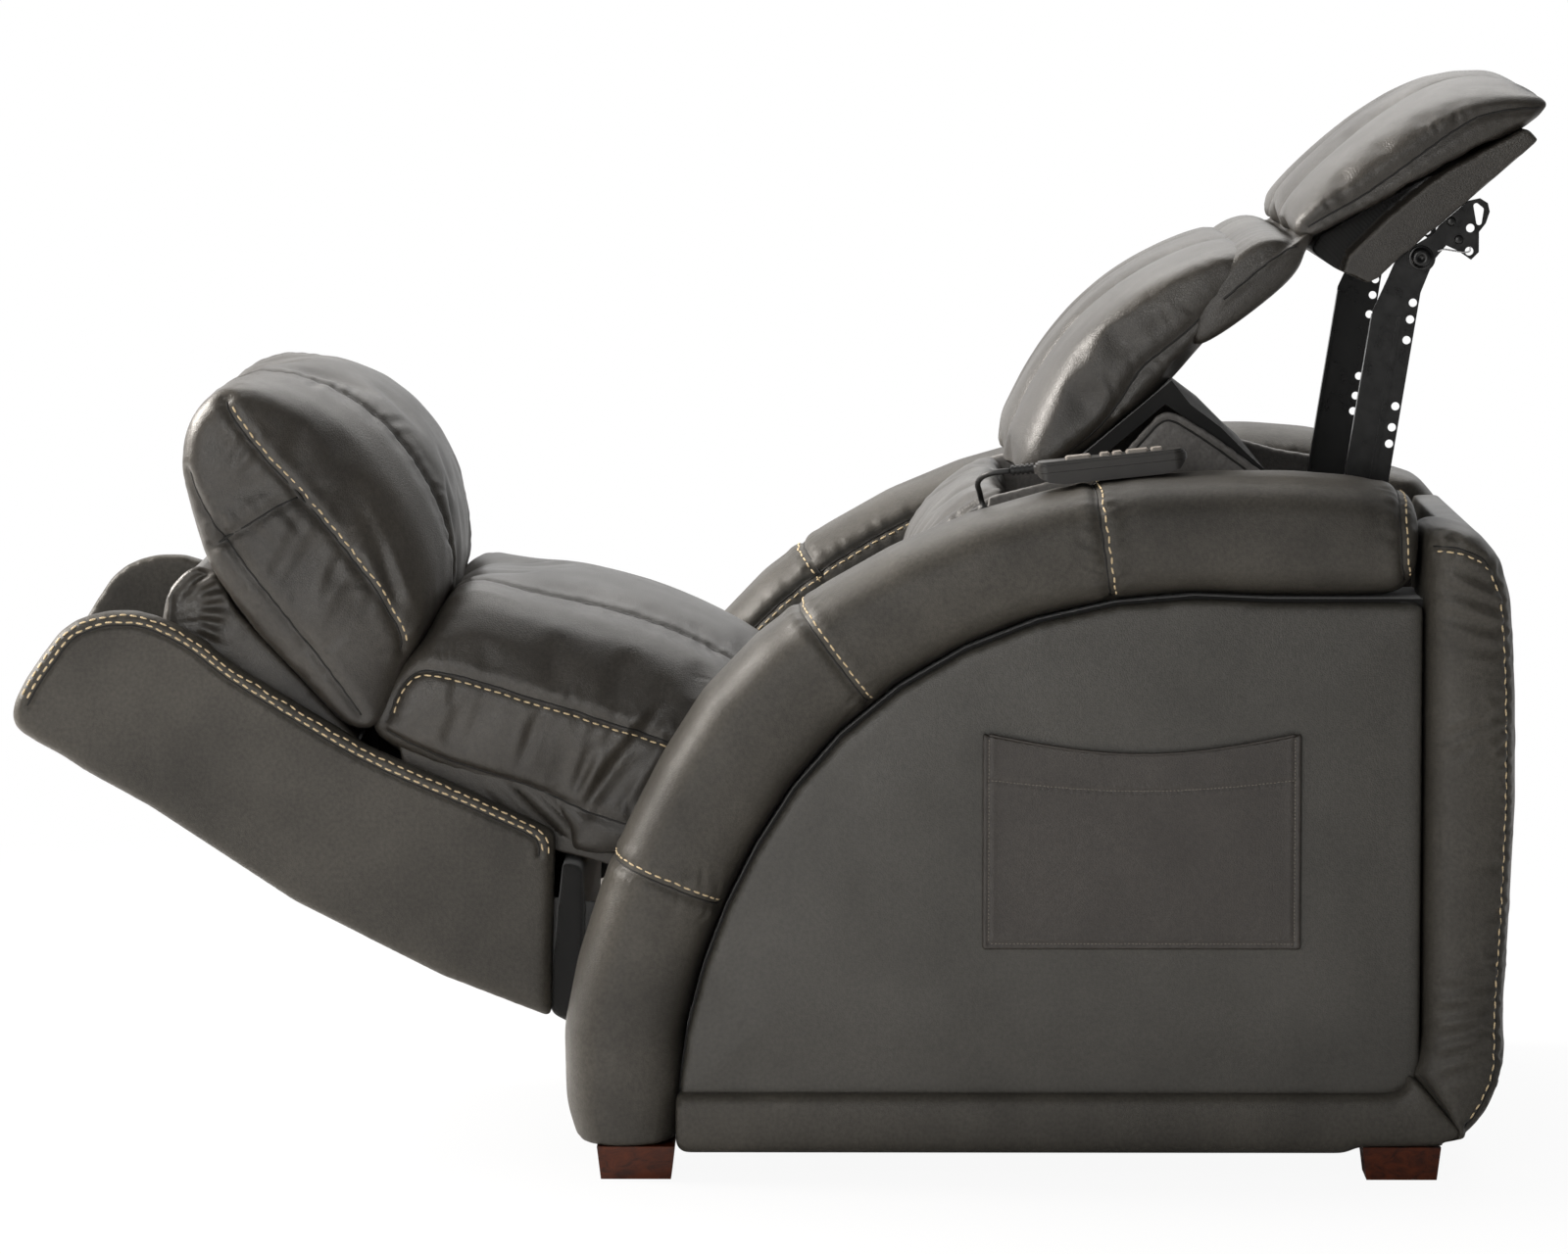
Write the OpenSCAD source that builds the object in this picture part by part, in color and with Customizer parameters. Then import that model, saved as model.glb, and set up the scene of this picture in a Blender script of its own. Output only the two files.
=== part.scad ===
// Power recliner, reclined: padded arch arms, footrest tray with leg pad, seat, lower back and headrest.
// X runs across the chair (sitter's left is +X), the chair faces -Y and +Z is up.
// Side outlines are lists of [station, height]; station 0 is about the toe of the raised footrest.

/* [Overall] */
// Width over both arms
chair_w = 990; // [940:1:1060]
// Width of one arm
arm_w = 190; // [170:1:205]
// Height of the arm top above the floor
arm_h = 723; // [700:1:760]
// Height of the feet
foot_h = 34; // [25:1:45]
// Running gap between an arm and the moving seat parts
side_gap = 7; // [5:1:12]
// Seating gap between pieces that lie on each other
seat_fit = 0.3; // [0.2:0.1:0.5]

/* [Arms] */
// Station of the arm's foremost point
arm_front = 572; // [566:1:580]
// Thickness of the padded arch at the front
roll_front = 118; // [105:1:125]
// Thickness of the padded arch on top
roll_top = 127; // [115:1:135]
// Station of the rear face of the side panel
panel_back = 1453; // [1450:1:1456]
// Depth of the padded band behind the side panel
rear_band_t = 94; // [80:1:100]
// Width of the inner frame of an arm
core_w = 143; // [120:1:145]
// How far the side panel lies inside the arch
panel_recess = 12; // [8:1:16]
// Height of the padded roll under the side panel
bottom_roll_h = 55; // [45:1:60]

/* [Pocket] */
// Length of the side pocket
pocket_l = 325; // [250:1:340]
// Height of the side pocket
pocket_h = 221; // [160:1:240]
// Station of the middle of the pocket
pocket_at = 1165; // [1150:1:1180]
// Room inside the pocket
pocket_room = 6; // [5:0.5:7]
// Thickness of the pocket's leather
pocket_t = 2; // [1.5:0.5:2.5]

/* [Handset] */
// Length of the handset
hand_l = 157; // [140:1:165]
// Width of the handset
hand_w = 48; // [40:1:56]
// Thickness of the handset
hand_t = 24; // [20:1:28]
// Travel of a button
button_travel = 1; // [0.6:0.1:1.4]
// Diameter of the handset's cord
cord_d = 6; // [5:0.5:7]

/* [Steel] */
// Thickness of the steel plates
plate_t = 4; // [3:0.5:5]
// Thickness of the back rails' sheet
rail_t = 3; // [2:0.5:4]
// Width of a back rail
rail_w = 46; // [40:1:50]
// Depth of a back rail's flanges
rail_flange = 14; // [8:1:16]
// Diameter of the holes along the back rails
rail_hole_d = 8.7; // [6:0.1:10]
// Diameter of the pivot pins
pin_d = 14; // [12:1:16]
// Radial clearance of a pin in its hole
pin_fit = 0.06; // [0.03:0.01:0.09]
// Diameter of the tube that joins the back rails
tube_d = 25; // [20:1:28]

/* [Footrest] */
// Thickness of the tray's side wings
wing_t = 26; // [20:1:27]
// Thickness of the tray's floor
tray_t = 24; // [18:1:30]
// Thickness of the leg pad's board
board_t = 16; // [12:1:20]

/* [Hidden] */
datum = 796;
half_w = chair_w / 2;
arm_in = half_w - arm_w;
moving_x = arm_in - side_gap;
cushion_x = moving_x - 6;
wing_in = moving_x - wing_t;

function arc_at(c, a, b, t, e = 0) = [c[0] + (a + e) * cos(t), c[1] + (b + e) * sin(t)];
function spow(v, p) = (v < 0 ? -1 : 1) * pow(abs(v), p);
function mix(a, b, t) = a + (b - a) * t;
function mean(v, i = 0, s = [0, 0]) = i == len(v) ? s / len(v) : mean(v, i + 1, s + v[i]);

// A closed smooth curve through the given points, with n points for each one
function spline(a, b, c, d, t) =
    0.5 * (2 * b + (c - a) * t + (2 * a - 5 * b + 4 * c - d) * t * t + (3 * b - a - 3 * c + d) * t * t * t);
function smooth_loop(p, n) =
    let (m = len(p))
    [for (i = [0 : m - 1]) for (k = [0 : n - 1])
        spline(p[(i + m - 1) % m], p[i], p[(i + 1) % m], p[(i + 2) % m], k / n)];

// A closed solid through equal rings of points, with a fan on each end
module skin(rings) {
    n = len(rings[0]);
    m = len(rings);
    ends = [mean(rings[0], 0, [0, 0, 0]), mean(rings[m - 1], 0, [0, 0, 0])];
    points = concat([for (r = rings) each r], ends);
    sides = [for (j = [0 : m - 2]) for (i = [0 : n - 1])
        let (a = j * n + i, b = j * n + (i + 1) % n, c = b + n, d = a + n)
        each [[a, c, b], [a, d, c]]];
    first = [for (i = [0 : n - 1]) [m * n, i, (i + 1) % n]];
    last = [for (i = [0 : n - 1]) [m * n + 1, (m - 1) * n + (i + 1) % n, (m - 1) * n + i]];
    polyhedron(points, concat(sides, first, last), convexity = 6);
}

// A side outline made into a plate from x0 to x1
module side_plate(x0, x1) {
    translate([x0, -datum, 0]) rotate([90, 0, 90]) linear_extrude(x1 - x0) children();
}

// A round rod along X
module cross_rod(at, x0, x1, d) {
    side_plate(x0, x1) translate(at) circle(d = d, $fn = 48);
}

// The same piece on the chosen side of the chair, 1 for the sitter's left and -1 for the right
module on_side(side) {
    mirror([side < 0 ? 1 : 0, 0, 0]) children();
}

// Crown of a cushion across its width: 0 at the sides, 1 in the middle, drawn in at the seams
function dent(f, seams, w) = len(seams) == 0 ? 0 : max([for (s = seams) exp(-pow((f - s) / w, 2))]);
function crown(f, seams, depth) = pow(1 - pow(abs(f), 2.6), 0.55) * (1 - depth * dent(f, seams, 0.035));
function drawn_in(f) = abs(f) > 0.999 ? 0.86 : abs(f) > 0.97 ? 0.95 : 1;
side_steps = [1, 0.975, 0.93, 0.84, 0.7, 0.55];
function steps_across(seams) =
    let (s = len(seams) == 0 ? [0.4, 0.2, 0] : [0.44, 0.40, 0.36, 0.33, 0.30, 0.26, 0.12, 0])
    concat(-side_steps, -s, [for (i = [len(s) - 2 : -1 : 0]) s[i]], [for (i = [5 : -1 : 0]) side_steps[i]]);

// A point drawn back onto the plane [point, normal] of the board that carries the cushion
function held(p, rest) = len(rest) == 0 ? p : p - max(0, (p - rest[0]) * rest[1]) * rest[1];

// A cushion from its side outline at the edge and in the middle
module cushion(edge, middle, x, rest = [], seams = [], depth = 0, fine = 2) {
    e = smooth_loop(edge, fine);
    c = smooth_loop(middle, fine);
    rings = [for (f = steps_across(seams))
        let (g = crown(f, seams, depth),
             r = [for (i = [0 : len(e) - 1]) mix(e[i], c[i], g)],
             o = mean(r),
             k = drawn_in(f))
        [for (p = r)
            let (q = held(o + (p - o) * k, rest))
            [f * x, q[0] - datum, q[1]]]];
    skin(rings);
}

// Arm: the arch lies between an outer and an inner quarter ellipse
arch_outer_c = [1250, 148];
arch_outer_a = arch_outer_c[0] - arm_front;
arch_outer_b = arm_h - arch_outer_c[1];
arch_inner_c = [1300, 88];
arch_inner_a = arch_inner_c[0] - arm_front - roll_front;
arch_inner_b = arm_h - roll_top - arch_inner_c[1];
arch_steps = [180 : -7.5 : 90];
// How far the arch's front is drawn back above the floor, and its inner edge lifted over the panel
arch_hollow = 16;
arch_lift = 20;
function outer_draw(t) = t < 140 ? 0 : -arch_hollow * sin(180 * (180 - t) / 40);
function inner_draw(t) = t > 150 ? -0.3 * arch_lift * sin(6 * (180 - t)) : arch_lift * sin(3 * (150 - t));
panel_front = arm_front + roll_front;
panel_top = arm_h - roll_top;
roll_out = concat(
    [[arm_front + 14, foot_h], [arm_front + 2, foot_h + 40]],
    [for (t = arch_steps) arc_at(arch_outer_c, arch_outer_a, arch_outer_b, t, outer_draw(t))],
    [[1320, arm_h], [1385, arm_h - 5], [1425, arm_h - 14], [1441, arm_h - 26], [1448, arm_h - 42]]);
roll_in = concat(
    [[panel_front - 6, foot_h], [panel_front - 4, foot_h + 25]],
    [for (t = arch_steps) arc_at(arch_inner_c, arch_inner_a, arch_inner_b, t, inner_draw(t))],
    [[1340, panel_top], [1385, panel_top], [1422, panel_top + 2], [1438, panel_top + 12],
     [1447, panel_top + 32]]);
roll_sides = 20;

module arm_roll(side) {
    m = len(roll_out);
    mid_x = half_w - arm_w / 2;
    rings = [for (j = [0 : m - 1])
        let (c = (roll_out[j] + roll_in[j]) / 2,
             r = (roll_out[j] - roll_in[j]) / 2,
             w = arm_w / 2 * (j < m - 3 ? 1 : [0.97, 0.88, 0.7][j - m + 3]))
        [for (i = [0 : roll_sides - 1])
            let (t = 360 * i / roll_sides, u = spow(cos(t), 0.66), v = spow(sin(t), 0.66))
            [mid_x + w * v, c[0] + r[0] * u - datum, c[1] + r[1] * u]]];
    color("#4a4845") on_side(side) skin(rings);
}

// The flat outline inside the arch, drawn back by a gap, with its lower rear corner
module arch_inside(gap, low, corner) {
    arch = [for (t = arch_steps) arc_at(arch_inner_c, arch_inner_a, arch_inner_b, t, inner_draw(t) - gap)];
    polygon(concat([[panel_front + gap, low]], arch, [[panel_back - gap, panel_top - gap]], corner));
}

core_x = arm_in + 7;
foot_size = [74, 80];
foot_at = [648, 1433];
module arm_core(side) {
    color("#3a3836") on_side(side) side_plate(core_x, core_x + core_w)
        arch_inside(seat_fit, foot_h, [[panel_back - seat_fit, foot_h]]);
}

roll_sag = 6;
panel_low = foot_h - roll_sag + bottom_roll_h + seat_fit;
panel_x = core_x + core_w + seat_fit;
panel_face = half_w - panel_recess;
panel_gap = 2;
// Rounding of the panel's lower rear corner, as points at the given angles
corner_r = 36;
function panel_corner(a, e = 0) = [panel_back - panel_gap - corner_r * (1 - sin(a)),
    panel_low + corner_r * (1 - cos(a)) - (e == 0 ? 0 : e / cos(a))];
module side_panel(side) {
    color("#4d4b48") on_side(side) side_plate(panel_x, panel_face)
        arch_inside(panel_gap, panel_low, [for (a = [90 : -15 : 0]) panel_corner(a)]);
}

// Padded roll along the bottom of the side, which rises round the panel's corner
module bottom_roll(side) {
    high = panel_low - seat_fit;
    x = (panel_x + half_w) / 2;
    w = (half_w - panel_x) / 2;
    from = panel_front + seat_fit;
    to = panel_back - seat_fit;
    foot_from = foot_at[1] - foot_size[1] / 2;
    turn = [for (a = [0, 15, 30, 45, 60]) panel_corner(a, seat_fit)];
    tops = concat([[from, high], [from + 6, high], [mix(from, to, 0.33), high], [mix(from, to, 0.66), high],
        [foot_from - 20, high], [foot_from - 4, high]], turn, [[to, turn[4][1] + 4]]);
    sag = [0, 1, 1, 1, 1, -0.1, -0.15, -0.2, -0.25, -0.3, -0.4, -0.5];
    shrink = [0.94, 1, 1, 1, 1, 1, 1, 1, 1, 1, 1, 0.96];
    rings = [for (j = [0 : len(tops) - 1])
        let (low = foot_h - roll_sag * sag[j], c = (low + tops[j][1]) / 2, h = (tops[j][1] - low) / 2)
        [for (i = [0 : 15])
            let (t = 360 * i / 16)
            [x + w * shrink[j] * spow(cos(t), 0.6), tops[j][0] - datum,
             c + h * shrink[j] * spow(sin(t), 0.6)]]];
    color("#454340") on_side(side) skin([for (i = [len(rings) - 1 : -1 : 0]) rings[i]]);
}

// Padded band up the rear corner
band_levels = [0, 0.017, 0.045, 0.1, 0.19, 0.33, 0.55, 0.73, 0.887, 0.951, 0.986, 1];
band_depth = [0.37, 0.51, 0.67, 0.79, 0.87, 0.93, 1, 0.99, 0.93, 0.8, 0.6, 0.3];
band_top = arm_h - 55;
band_front = panel_back + seat_fit;
band_low = foot_h + 6;
module rear_band(side) {
    mid_x = half_w - arm_w / 2;
    rings = [for (j = [0 : len(band_levels) - 1])
        let (z = mix(band_low, band_top, band_levels[j]),
             d = rear_band_t * band_depth[j] / 2,
             w = arm_w / 2 * (j == len(band_levels) - 1 ? 0.85 : 1))
        [for (i = [0 : 19])
            let (t = 360 * i / 20)
            [mid_x + w * spow(cos(t), 0.55), band_front + d + d * spow(sin(t), 0.55) - datum, z]]];
    color("#464441") on_side(side) skin([for (i = [len(rings) - 1 : -1 : 0]) rings[i]]);
}

rear_panel_t = 32;
rear_panel_at = panel_back + 44;
module rear_panel() {
    x = arm_in - seat_fit;
    color("#3f3d3b") side_plate(-x, x)
        translate([rear_panel_at, foot_h + 20]) square([rear_panel_t, band_top - foot_h - 40]);
}

// Wooden rails that tie the two arms together
rail_low = foot_h + 20;
module cross_rail(at) {
    x = core_x - seat_fit;
    color("#8a6b45") side_plate(-x, x) translate([at, rail_low]) square([40, 75]);
}

// Tapered wooden foot with a smaller sole
module foot(side, at) {
    sole = 0.9;
    color("#4a2414") on_side(side) translate([half_w - 8 - foot_size[0] / 2, at - datum, 0])
        linear_extrude(foot_h, scale = 1 / sole) square(foot_size * sole, center = true);
}

// Open pocket on the sitter's left side panel
pocket_low = panel_low + 156;
pocket_dip = 20;
module pocket() {
    a = pocket_at - pocket_l / 2;
    edge = 7;
    full = pocket_room + 2 * pocket_t;
    top = [for (t = [0 : 0.125 : 1]) [a + pocket_l * t, pocket_low + pocket_h - pocket_dip * sin(180 * t)]];
    back = panel_face;
    color("#443f3b") difference() {
        side_plate(back, back + full) polygon(concat([[a + pocket_l, pocket_low], [a, pocket_low]], top));
        side_plate(back + pocket_t, back + pocket_t + pocket_room)
            translate([a + edge, pocket_low + edge]) square([pocket_l - 2 * edge, pocket_h]);
    }
}

// Handset, laid on the arch where its top leaves the station below
hand_angle = 97.5;
hand_touch = arc_at(arch_outer_c, arch_outer_a, arch_outer_b, hand_angle);
hand_slope = 6;
hand_x = half_w - arm_w / 2;
hand_start = -104;
shell_split = 13;
module handset_place() {
    translate([hand_x, hand_touch[0] - datum, hand_touch[1] + seat_fit])
        rotate([hand_slope, 0, 0]) children();
}
module hand_profile(x) {
    rotate([90, 0, 90]) translate([0, 0, -x / 2]) linear_extrude(x) children();
}
hand_under = [[hand_start + 2, shell_split], [hand_start + 5, 8], [hand_start + 14, 3], [hand_start + 30, 0],
    [hand_start + hand_l - 24, 0], [hand_start + hand_l - 8, 4], [hand_start + hand_l - 1, shell_split]];
module handset_base() {
    color("#3c3936") handset_place() intersection() {
        hand_profile(hand_w) polygon(hand_under);
        translate([0, hand_start + hand_l / 2, 0])
            linear_extrude(shell_split) rounded(hand_w, hand_l - 2, 12);
    }
}
module rounded(w, l, r) {
    for (x = [-1, 1], y = [-1, 1])
        translate([x * (w / 2 - r), y * (l / 2 - r)]) circle(r = r, $fn = 32);
    square([w - 2 * r, l], center = true);
    square([w, l - 2 * r], center = true);
}
// Place along the handset and length of each button
buttons = [[46, 26], [73.5, 10], [86.5, 10], [107, 23], [127, 12]];
button_w = 22;
button_gap = 0.5;
button_rise = 3;
button_deep = 7;
module handset_top() {
    low = shell_split + seat_fit;
    color("#4b4744") handset_place() difference() {
        union() {
            translate([0, hand_start + hand_l / 2, low]) linear_extrude(hand_t - 4 - low)
                rounded(hand_w, hand_l, 13);
            translate([0, hand_start + hand_l / 2, low]) linear_extrude(hand_t - 1.5 - low)
                rounded(hand_w - 4, hand_l - 4, 11);
            translate([0, hand_start + hand_l / 2, low]) linear_extrude(hand_t - low)
                rounded(hand_w - 9, hand_l - 9, 9);
        }
        for (b = buttons)
            translate([0, hand_start + b[0], hand_t - button_deep - button_travel - button_gap])
                linear_extrude(hand_t)
                    rounded(button_w + 2 * button_gap, b[1] + 2 * button_gap, 3 + button_gap);
    }
}
module button(i) {
    b = buttons[i];
    color("#77726c") handset_place() translate([0, hand_start + b[0], hand_t - button_deep]) {
        linear_extrude(button_deep + button_rise - 1) rounded(button_w, b[1], 3);
        linear_extrude(button_deep + button_rise) rounded(button_w - 2, b[1] - 2, 2.4);
    }
}

// Ribbed sleeve where the cord leaves the handset
sleeve_l = 24;
sleeve_d = 11;
sleeve_z = shell_split + 5;
module strain_relief() {
    color("#1c1b1a") handset_place() translate([0, hand_start - seat_fit, sleeve_z]) rotate([90, 0, 0]) {
        cylinder(d = sleeve_d - 3, h = sleeve_l, $fn = 32);
        for (i = [0 : 4]) translate([0, 0, i * 5]) cylinder(d = sleeve_d, h = 3, $fn = 32);
    }
}

// Round collar in the arch's inner shoulder where the cord goes inside
grommet_d = 18;
grommet_h = 5;
grommet_station = 1008;
grommet_rise = sqrt(1 - pow((arch_outer_c[0] - grommet_station) / arch_outer_a, 2));
grommet_side = 0.779;
grommet_lean = 62.2;
grommet_turn = [13.37, -atan(grommet_lean / (arm_w / 2)), 0];
grommet_drop = 13.65;
grommet_at = [hand_x - grommet_side * arm_w / 2, grommet_station - datum,
    arch_outer_c[1] + arch_outer_b * grommet_rise - grommet_drop];
module cord_grommet() {
    color("#1c1b1a") translate(grommet_at) rotate(grommet_turn) translate([0, 0, seat_fit])
        cylinder(d = grommet_d, h = grommet_h, $fn = 32);
}

module tube_skin(path, d, sides) {
    m = len(path);
    rings = [for (j = [0 : m - 1])
        let (t = unit(path[min(j + 1, m - 1)] - path[max(j - 1, 0)]),
             u = unit(cross(t, [1, 0.2, 0.1])),
             v = cross(t, u))
        [for (i = [0 : sides - 1])
            path[j] + d / 2 * (cos(360 * i / sides) * u + sin(360 * i / sides) * v)]];
    skin(rings);
}
function unit(v) = v / norm(v);

// Route of the cord from the sleeve to the collar. Each point is its share of half the arm's width,
// its station, and its depth below the arm's top.
cord_route = [[0, 1031.8, 0.2], [0, 1024.8, 0.9], [0.021, 1014, 2.5], [0.095, 1005, 6], [0.232, 1000, 11.5],
    [0.4, 999, 17], [0.579, 1000, 22], [0.737, 1001.5, 27], [0.844, 1003, 33.5], [0.865, 1004.7, 40.2],
    [0.815, 1006.5, 46.3]];
module handset_cord() {
    color("#111111") tube_skin([for (p = cord_route)
        [hand_x - p[0] * arm_w / 2, p[1] - datum, arm_h - p[2]]], cord_d, 8);
}

// Pivots: footrest, back and headrest
rail_web_x = moving_x - 22;
foot_pivot = [600, 240];
back_pivot = [1150, 500];
head_pivot = [1461, 937];

// Seat body: side plates that carry the pins, a wooden frame, a deck and the cushion
arm_x = wing_in - seat_fit - plate_t;
mech_x = arm_x - 1 - plate_t;
module mech_plate(side) {
    color("#1d1d1f") on_side(side) {
        side_plate(mech_x, mech_x + plate_t) {
            translate(foot_pivot) circle(r = 20, $fn = 64);
            translate(back_pivot) circle(r = 24, $fn = 64);
            polygon([[600, 221], [1010, 221], [1171, 489], [1130, 514], [975, 260], [600, 260]]);
        }
        cross_rod(foot_pivot, mech_x + plate_t - 1, arm_x + plate_t + 2, pin_d);
        cross_rod(back_pivot, mech_x + plate_t - 1, rail_web_x + 5, pin_d);
    }
}

frame_low = 232;
frame_high = 300;
frame_from = 645;
frame_to = 985;
module seat_frame() {
    x = mech_x - seat_fit;
    wall = 32;
    color("#8a6b45") difference() {
        side_plate(-x, x) translate([frame_from, frame_low])
            square([frame_to - frame_from, frame_high - frame_low]);
        side_plate(-x + wall, x - wall)
            translate([frame_from + wall, frame_low - 1]) square([frame_to - frame_from - 2 * wall, 100]);
    }
}

deck_t = 4;
module seat_deck() {
    x = mech_x - seat_fit;
    color("#2b2a29") side_plate(-x, x)
        translate([frame_from, frame_high + seat_fit]) square([frame_to - frame_from - 80, deck_t]);
}

seat_low = frame_high + deck_t + 2 * seat_fit;
seat_edge = [[374, 444], [380, 470], [394, 500], [410, 511], [450, 512], [520, 494], [600, 470], [686, 440],
    [760, 410], [860, 378], [945, 350], [956, seat_low + 14], [940, seat_low], [800, seat_low],
    [660, seat_low], [612, seat_low + 1], [572, seat_low + 10], [564, 352], [470, 392], [400, 424]];
seat_rest = [[780, seat_low], [0, -1]];
seat_middle = [[380, 450], [402, 488], [444, 548], [480, 583], [525, 590], [583, 585], [650, 568], [700, 548],
    [754, 518], [850, 460], [935, 400], [958, seat_low + 24], [940, seat_low], [800, seat_low],
    [660, seat_low], [612, seat_low + 1], [572, seat_low + 10], [564, 352], [470, 392], [400, 426]];
module seat_cushion() {
    color("#4f4c49") cushion(seat_edge, seat_middle, cushion_x, seat_rest);
}

// Sliders under the seat body and the rails that carry them on the arms
slider_high = 20;
module seat_slider(side) {
    color("#55565a") on_side(side)
        side_plate(mech_x + plate_t + seat_fit, arm_in - 16) translate([720, 226]) square([240, slider_high]);
}
module glide_rail(side) {
    color("#2a2b2d") on_side(side)
        side_plate(arm_in - 25, core_x - seat_fit) translate([700, 200]) square([360, 26 - seat_fit]);
}

// Footrest body
tray_edge_bottom = [[-8, 461], [-7, 450], [1, 441], [19, 430], [43, 417], [67, 401], [134, 364], [287, 263],
    [441, 185], [552, 142]];
tray_edge_top = [[557, 335], [470, 376], [362, 424], [238, 499], [215, 515], [191, 534], [167, 549],
    [143, 560], [120, 566], [96, 566], [75, 562], [57, 555], [42, 544], [25, 522], [7, 496], [-4, 475]];
tray_top = [[296, 263 + tray_t], [142, 364 + tray_t]];
tray_dir = unit(tray_top[1] - tray_top[0]);
tray_n = [tray_dir[1], -tray_dir[0]];
module tray_wing(side) {
    color("#4a4845") on_side(side) {
        side_plate(wing_in, moving_x - 6) polygon(concat(tray_edge_bottom, tray_edge_top));
        side_plate(moving_x - 10, moving_x) offset(delta = -5)
            polygon(concat(tray_edge_bottom, tray_edge_top));
    }
}
module tray_panel() {
    x = wing_in - seat_fit;
    color("#464441") side_plate(-x, x) polygon(concat(tray_edge_bottom,
        [[552, 142 + tray_t], [447, 185 + tray_t + 2], tray_top[0], tray_top[1],
         [71, 400 + tray_t], [26, 442], [14, 470], tray_edge_top[15]]));
}

// Cloth flap that closes the tray's rear end, under the seat's front edge
module tray_flap() {
    x = mech_x - 2;
    color("#2e2c2b") side_plate(-x, x) polygon([[552 + seat_fit, 143], [574, 131], [584, 138], [590, 250],
        [588, 298], [566, 304], [560, 250], [552 + seat_fit, 175]]);
}
module footrest_arm(side) {
    color("#1d1d1f") on_side(side) side_plate(arm_x, wing_in - seat_fit) difference() {
        union() {
            translate(foot_pivot) circle(r = 18, $fn = 64);
            polygon([[450, 225], [540, 196], [600, 222], [606, 258], [470, 275], [330, 345], [310, 315]]);
        }
        translate(foot_pivot) circle(r = pin_d / 2 + pin_fit, $fn = 64);
    }
}

// Board under the leg pad, the gathered skirt between board and tray, and the pad
board_a = [222, 566];
board_b = [352, 428];
board_dir = unit(board_b - board_a);
board_n = [board_dir[1], -board_dir[0]];
module leg_board() {
    x = arm_x - 24;
    color("#8a6b45") side_plate(-x, x) polygon([board_a, board_b, board_b + board_n * board_t,
        board_a + board_n * board_t]);
}
module pad_gusset() {
    x = arm_x - 6;
    gap = board_n * (board_t + seat_fit);
    color("#2e2c2b") side_plate(-x, x) polygon([board_a + gap, board_b + gap, [340, 330],
        tray_top[0] + tray_n * seat_fit, tray_top[1] + tray_n * seat_fit, [110, 430], [146, 548],
        [150, 580], [166, 598], [188, 594]]);
}
function under_pad(t) = board_a + (board_b - board_a) * t - board_n * seat_fit;
pad_under = [for (t = [1, 0.72, 0.36, 0.04]) under_pad(t)];
pad_edge = concat([[176, 700], [170, 740], [185, 780], [221, 796], [262, 752], [312, 682], [358, 612],
    [388, 560], [397, 524], [372, 476]], pad_under, [[198, 615]]);
pad_middle = concat([[170, 690], [168, 742], [193, 789], [250, 817], [323, 808], [390, 770], [436, 706],
    [456, 650], [457, 604], [430, 556], [390, 508]], pad_under, [[192, 612]]);
module leg_pad() {
    color("#514e4b") cushion(pad_edge, pad_middle, cushion_x, [under_pad(0), board_n]);
}

// Back body
rail_lean = 9.2;
rail_l = 380;
rail_rear = 6;
rail_eye_r = 14;
hole_drops = [47.6, 65.3, 87.1, 157, 179.3, 196.7];
module along_rail() {
    translate(head_pivot) rotate(-rail_lean) children();
}
module rail_outline() {
    along_rail() {
        circle(r = rail_eye_r, $fn = 64);
        polygon([[rail_rear, -rail_l], [rail_rear, -36], [rail_eye_r, 0], [4, rail_eye_r - 1], [-22, 6],
            [-30, -26], [rail_rear - rail_w, -62], [rail_rear - rail_w, -rail_l]]);
    }
}
module back_rail(side) {
    web_out = rail_web_x + rail_t;
    edge = rail_rear - rail_w;
    color("#141415") on_side(side) difference() {
        union() {
            side_plate(rail_web_x, web_out) rail_outline();
            side_plate(web_out - rail_flange, web_out) along_rail()
                translate([edge, -rail_l + 52]) square([rail_t, rail_l - 118]);
            side_plate(web_out, web_out + 1.6) along_rail()
                translate([rail_rear - 20, -240]) square([5, 176]);
            side_plate(web_out, web_out + 1) translate(head_pivot) difference() {
                circle(r = rail_eye_r - 1, $fn = 48);
                circle(r = rail_eye_r - 4, $fn = 48);
            }
        }
        side_plate(rail_web_x - 1, web_out + 3) along_rail() {
            for (d = hole_drops) translate([0, -d]) circle(d = rail_hole_d, $fn = 32);
        }
        side_plate(web_out - 1, web_out + 3) along_rail()
            for (d = [90, 162]) translate([rail_rear - 31, -d]) circle(d = 5, $fn = 24);
        side_plate(rail_web_x - 1, web_out + 3) translate(head_pivot)
            circle(r = pin_d / 2 + pin_fit, $fn = 64);
    }
}

// Plate that joins the foot of a rail to the back's pivot
bracket_out = rail_web_x - seat_fit;
module back_bracket(side) {
    color("#141415") on_side(side) side_plate(bracket_out - plate_t, bracket_out) difference() {
        union() {
            translate(back_pivot) circle(r = 24, $fn = 64);
            polygon([[1150, 476], [1396, 545], [1408, 557], [1403, 600], [1374, 604], [1340, 590],
                [1150, 524]]);
        }
        translate(back_pivot) circle(r = pin_d / 2 + pin_fit, $fn = 64);
    }
}

// Tube that keeps the rails apart
tube_drop = 300;
module back_tube() {
    at = head_pivot + tube_drop * [-sin(rail_lean), -cos(rail_lean)] + [-17, 3];
    x = rail_web_x - seat_fit;
    color("#141415") difference() {
        cross_rod(at, -x, x, tube_d);
        cross_rod(at, -x - 1, x + 1, tube_d - 4);
    }
}

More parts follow.
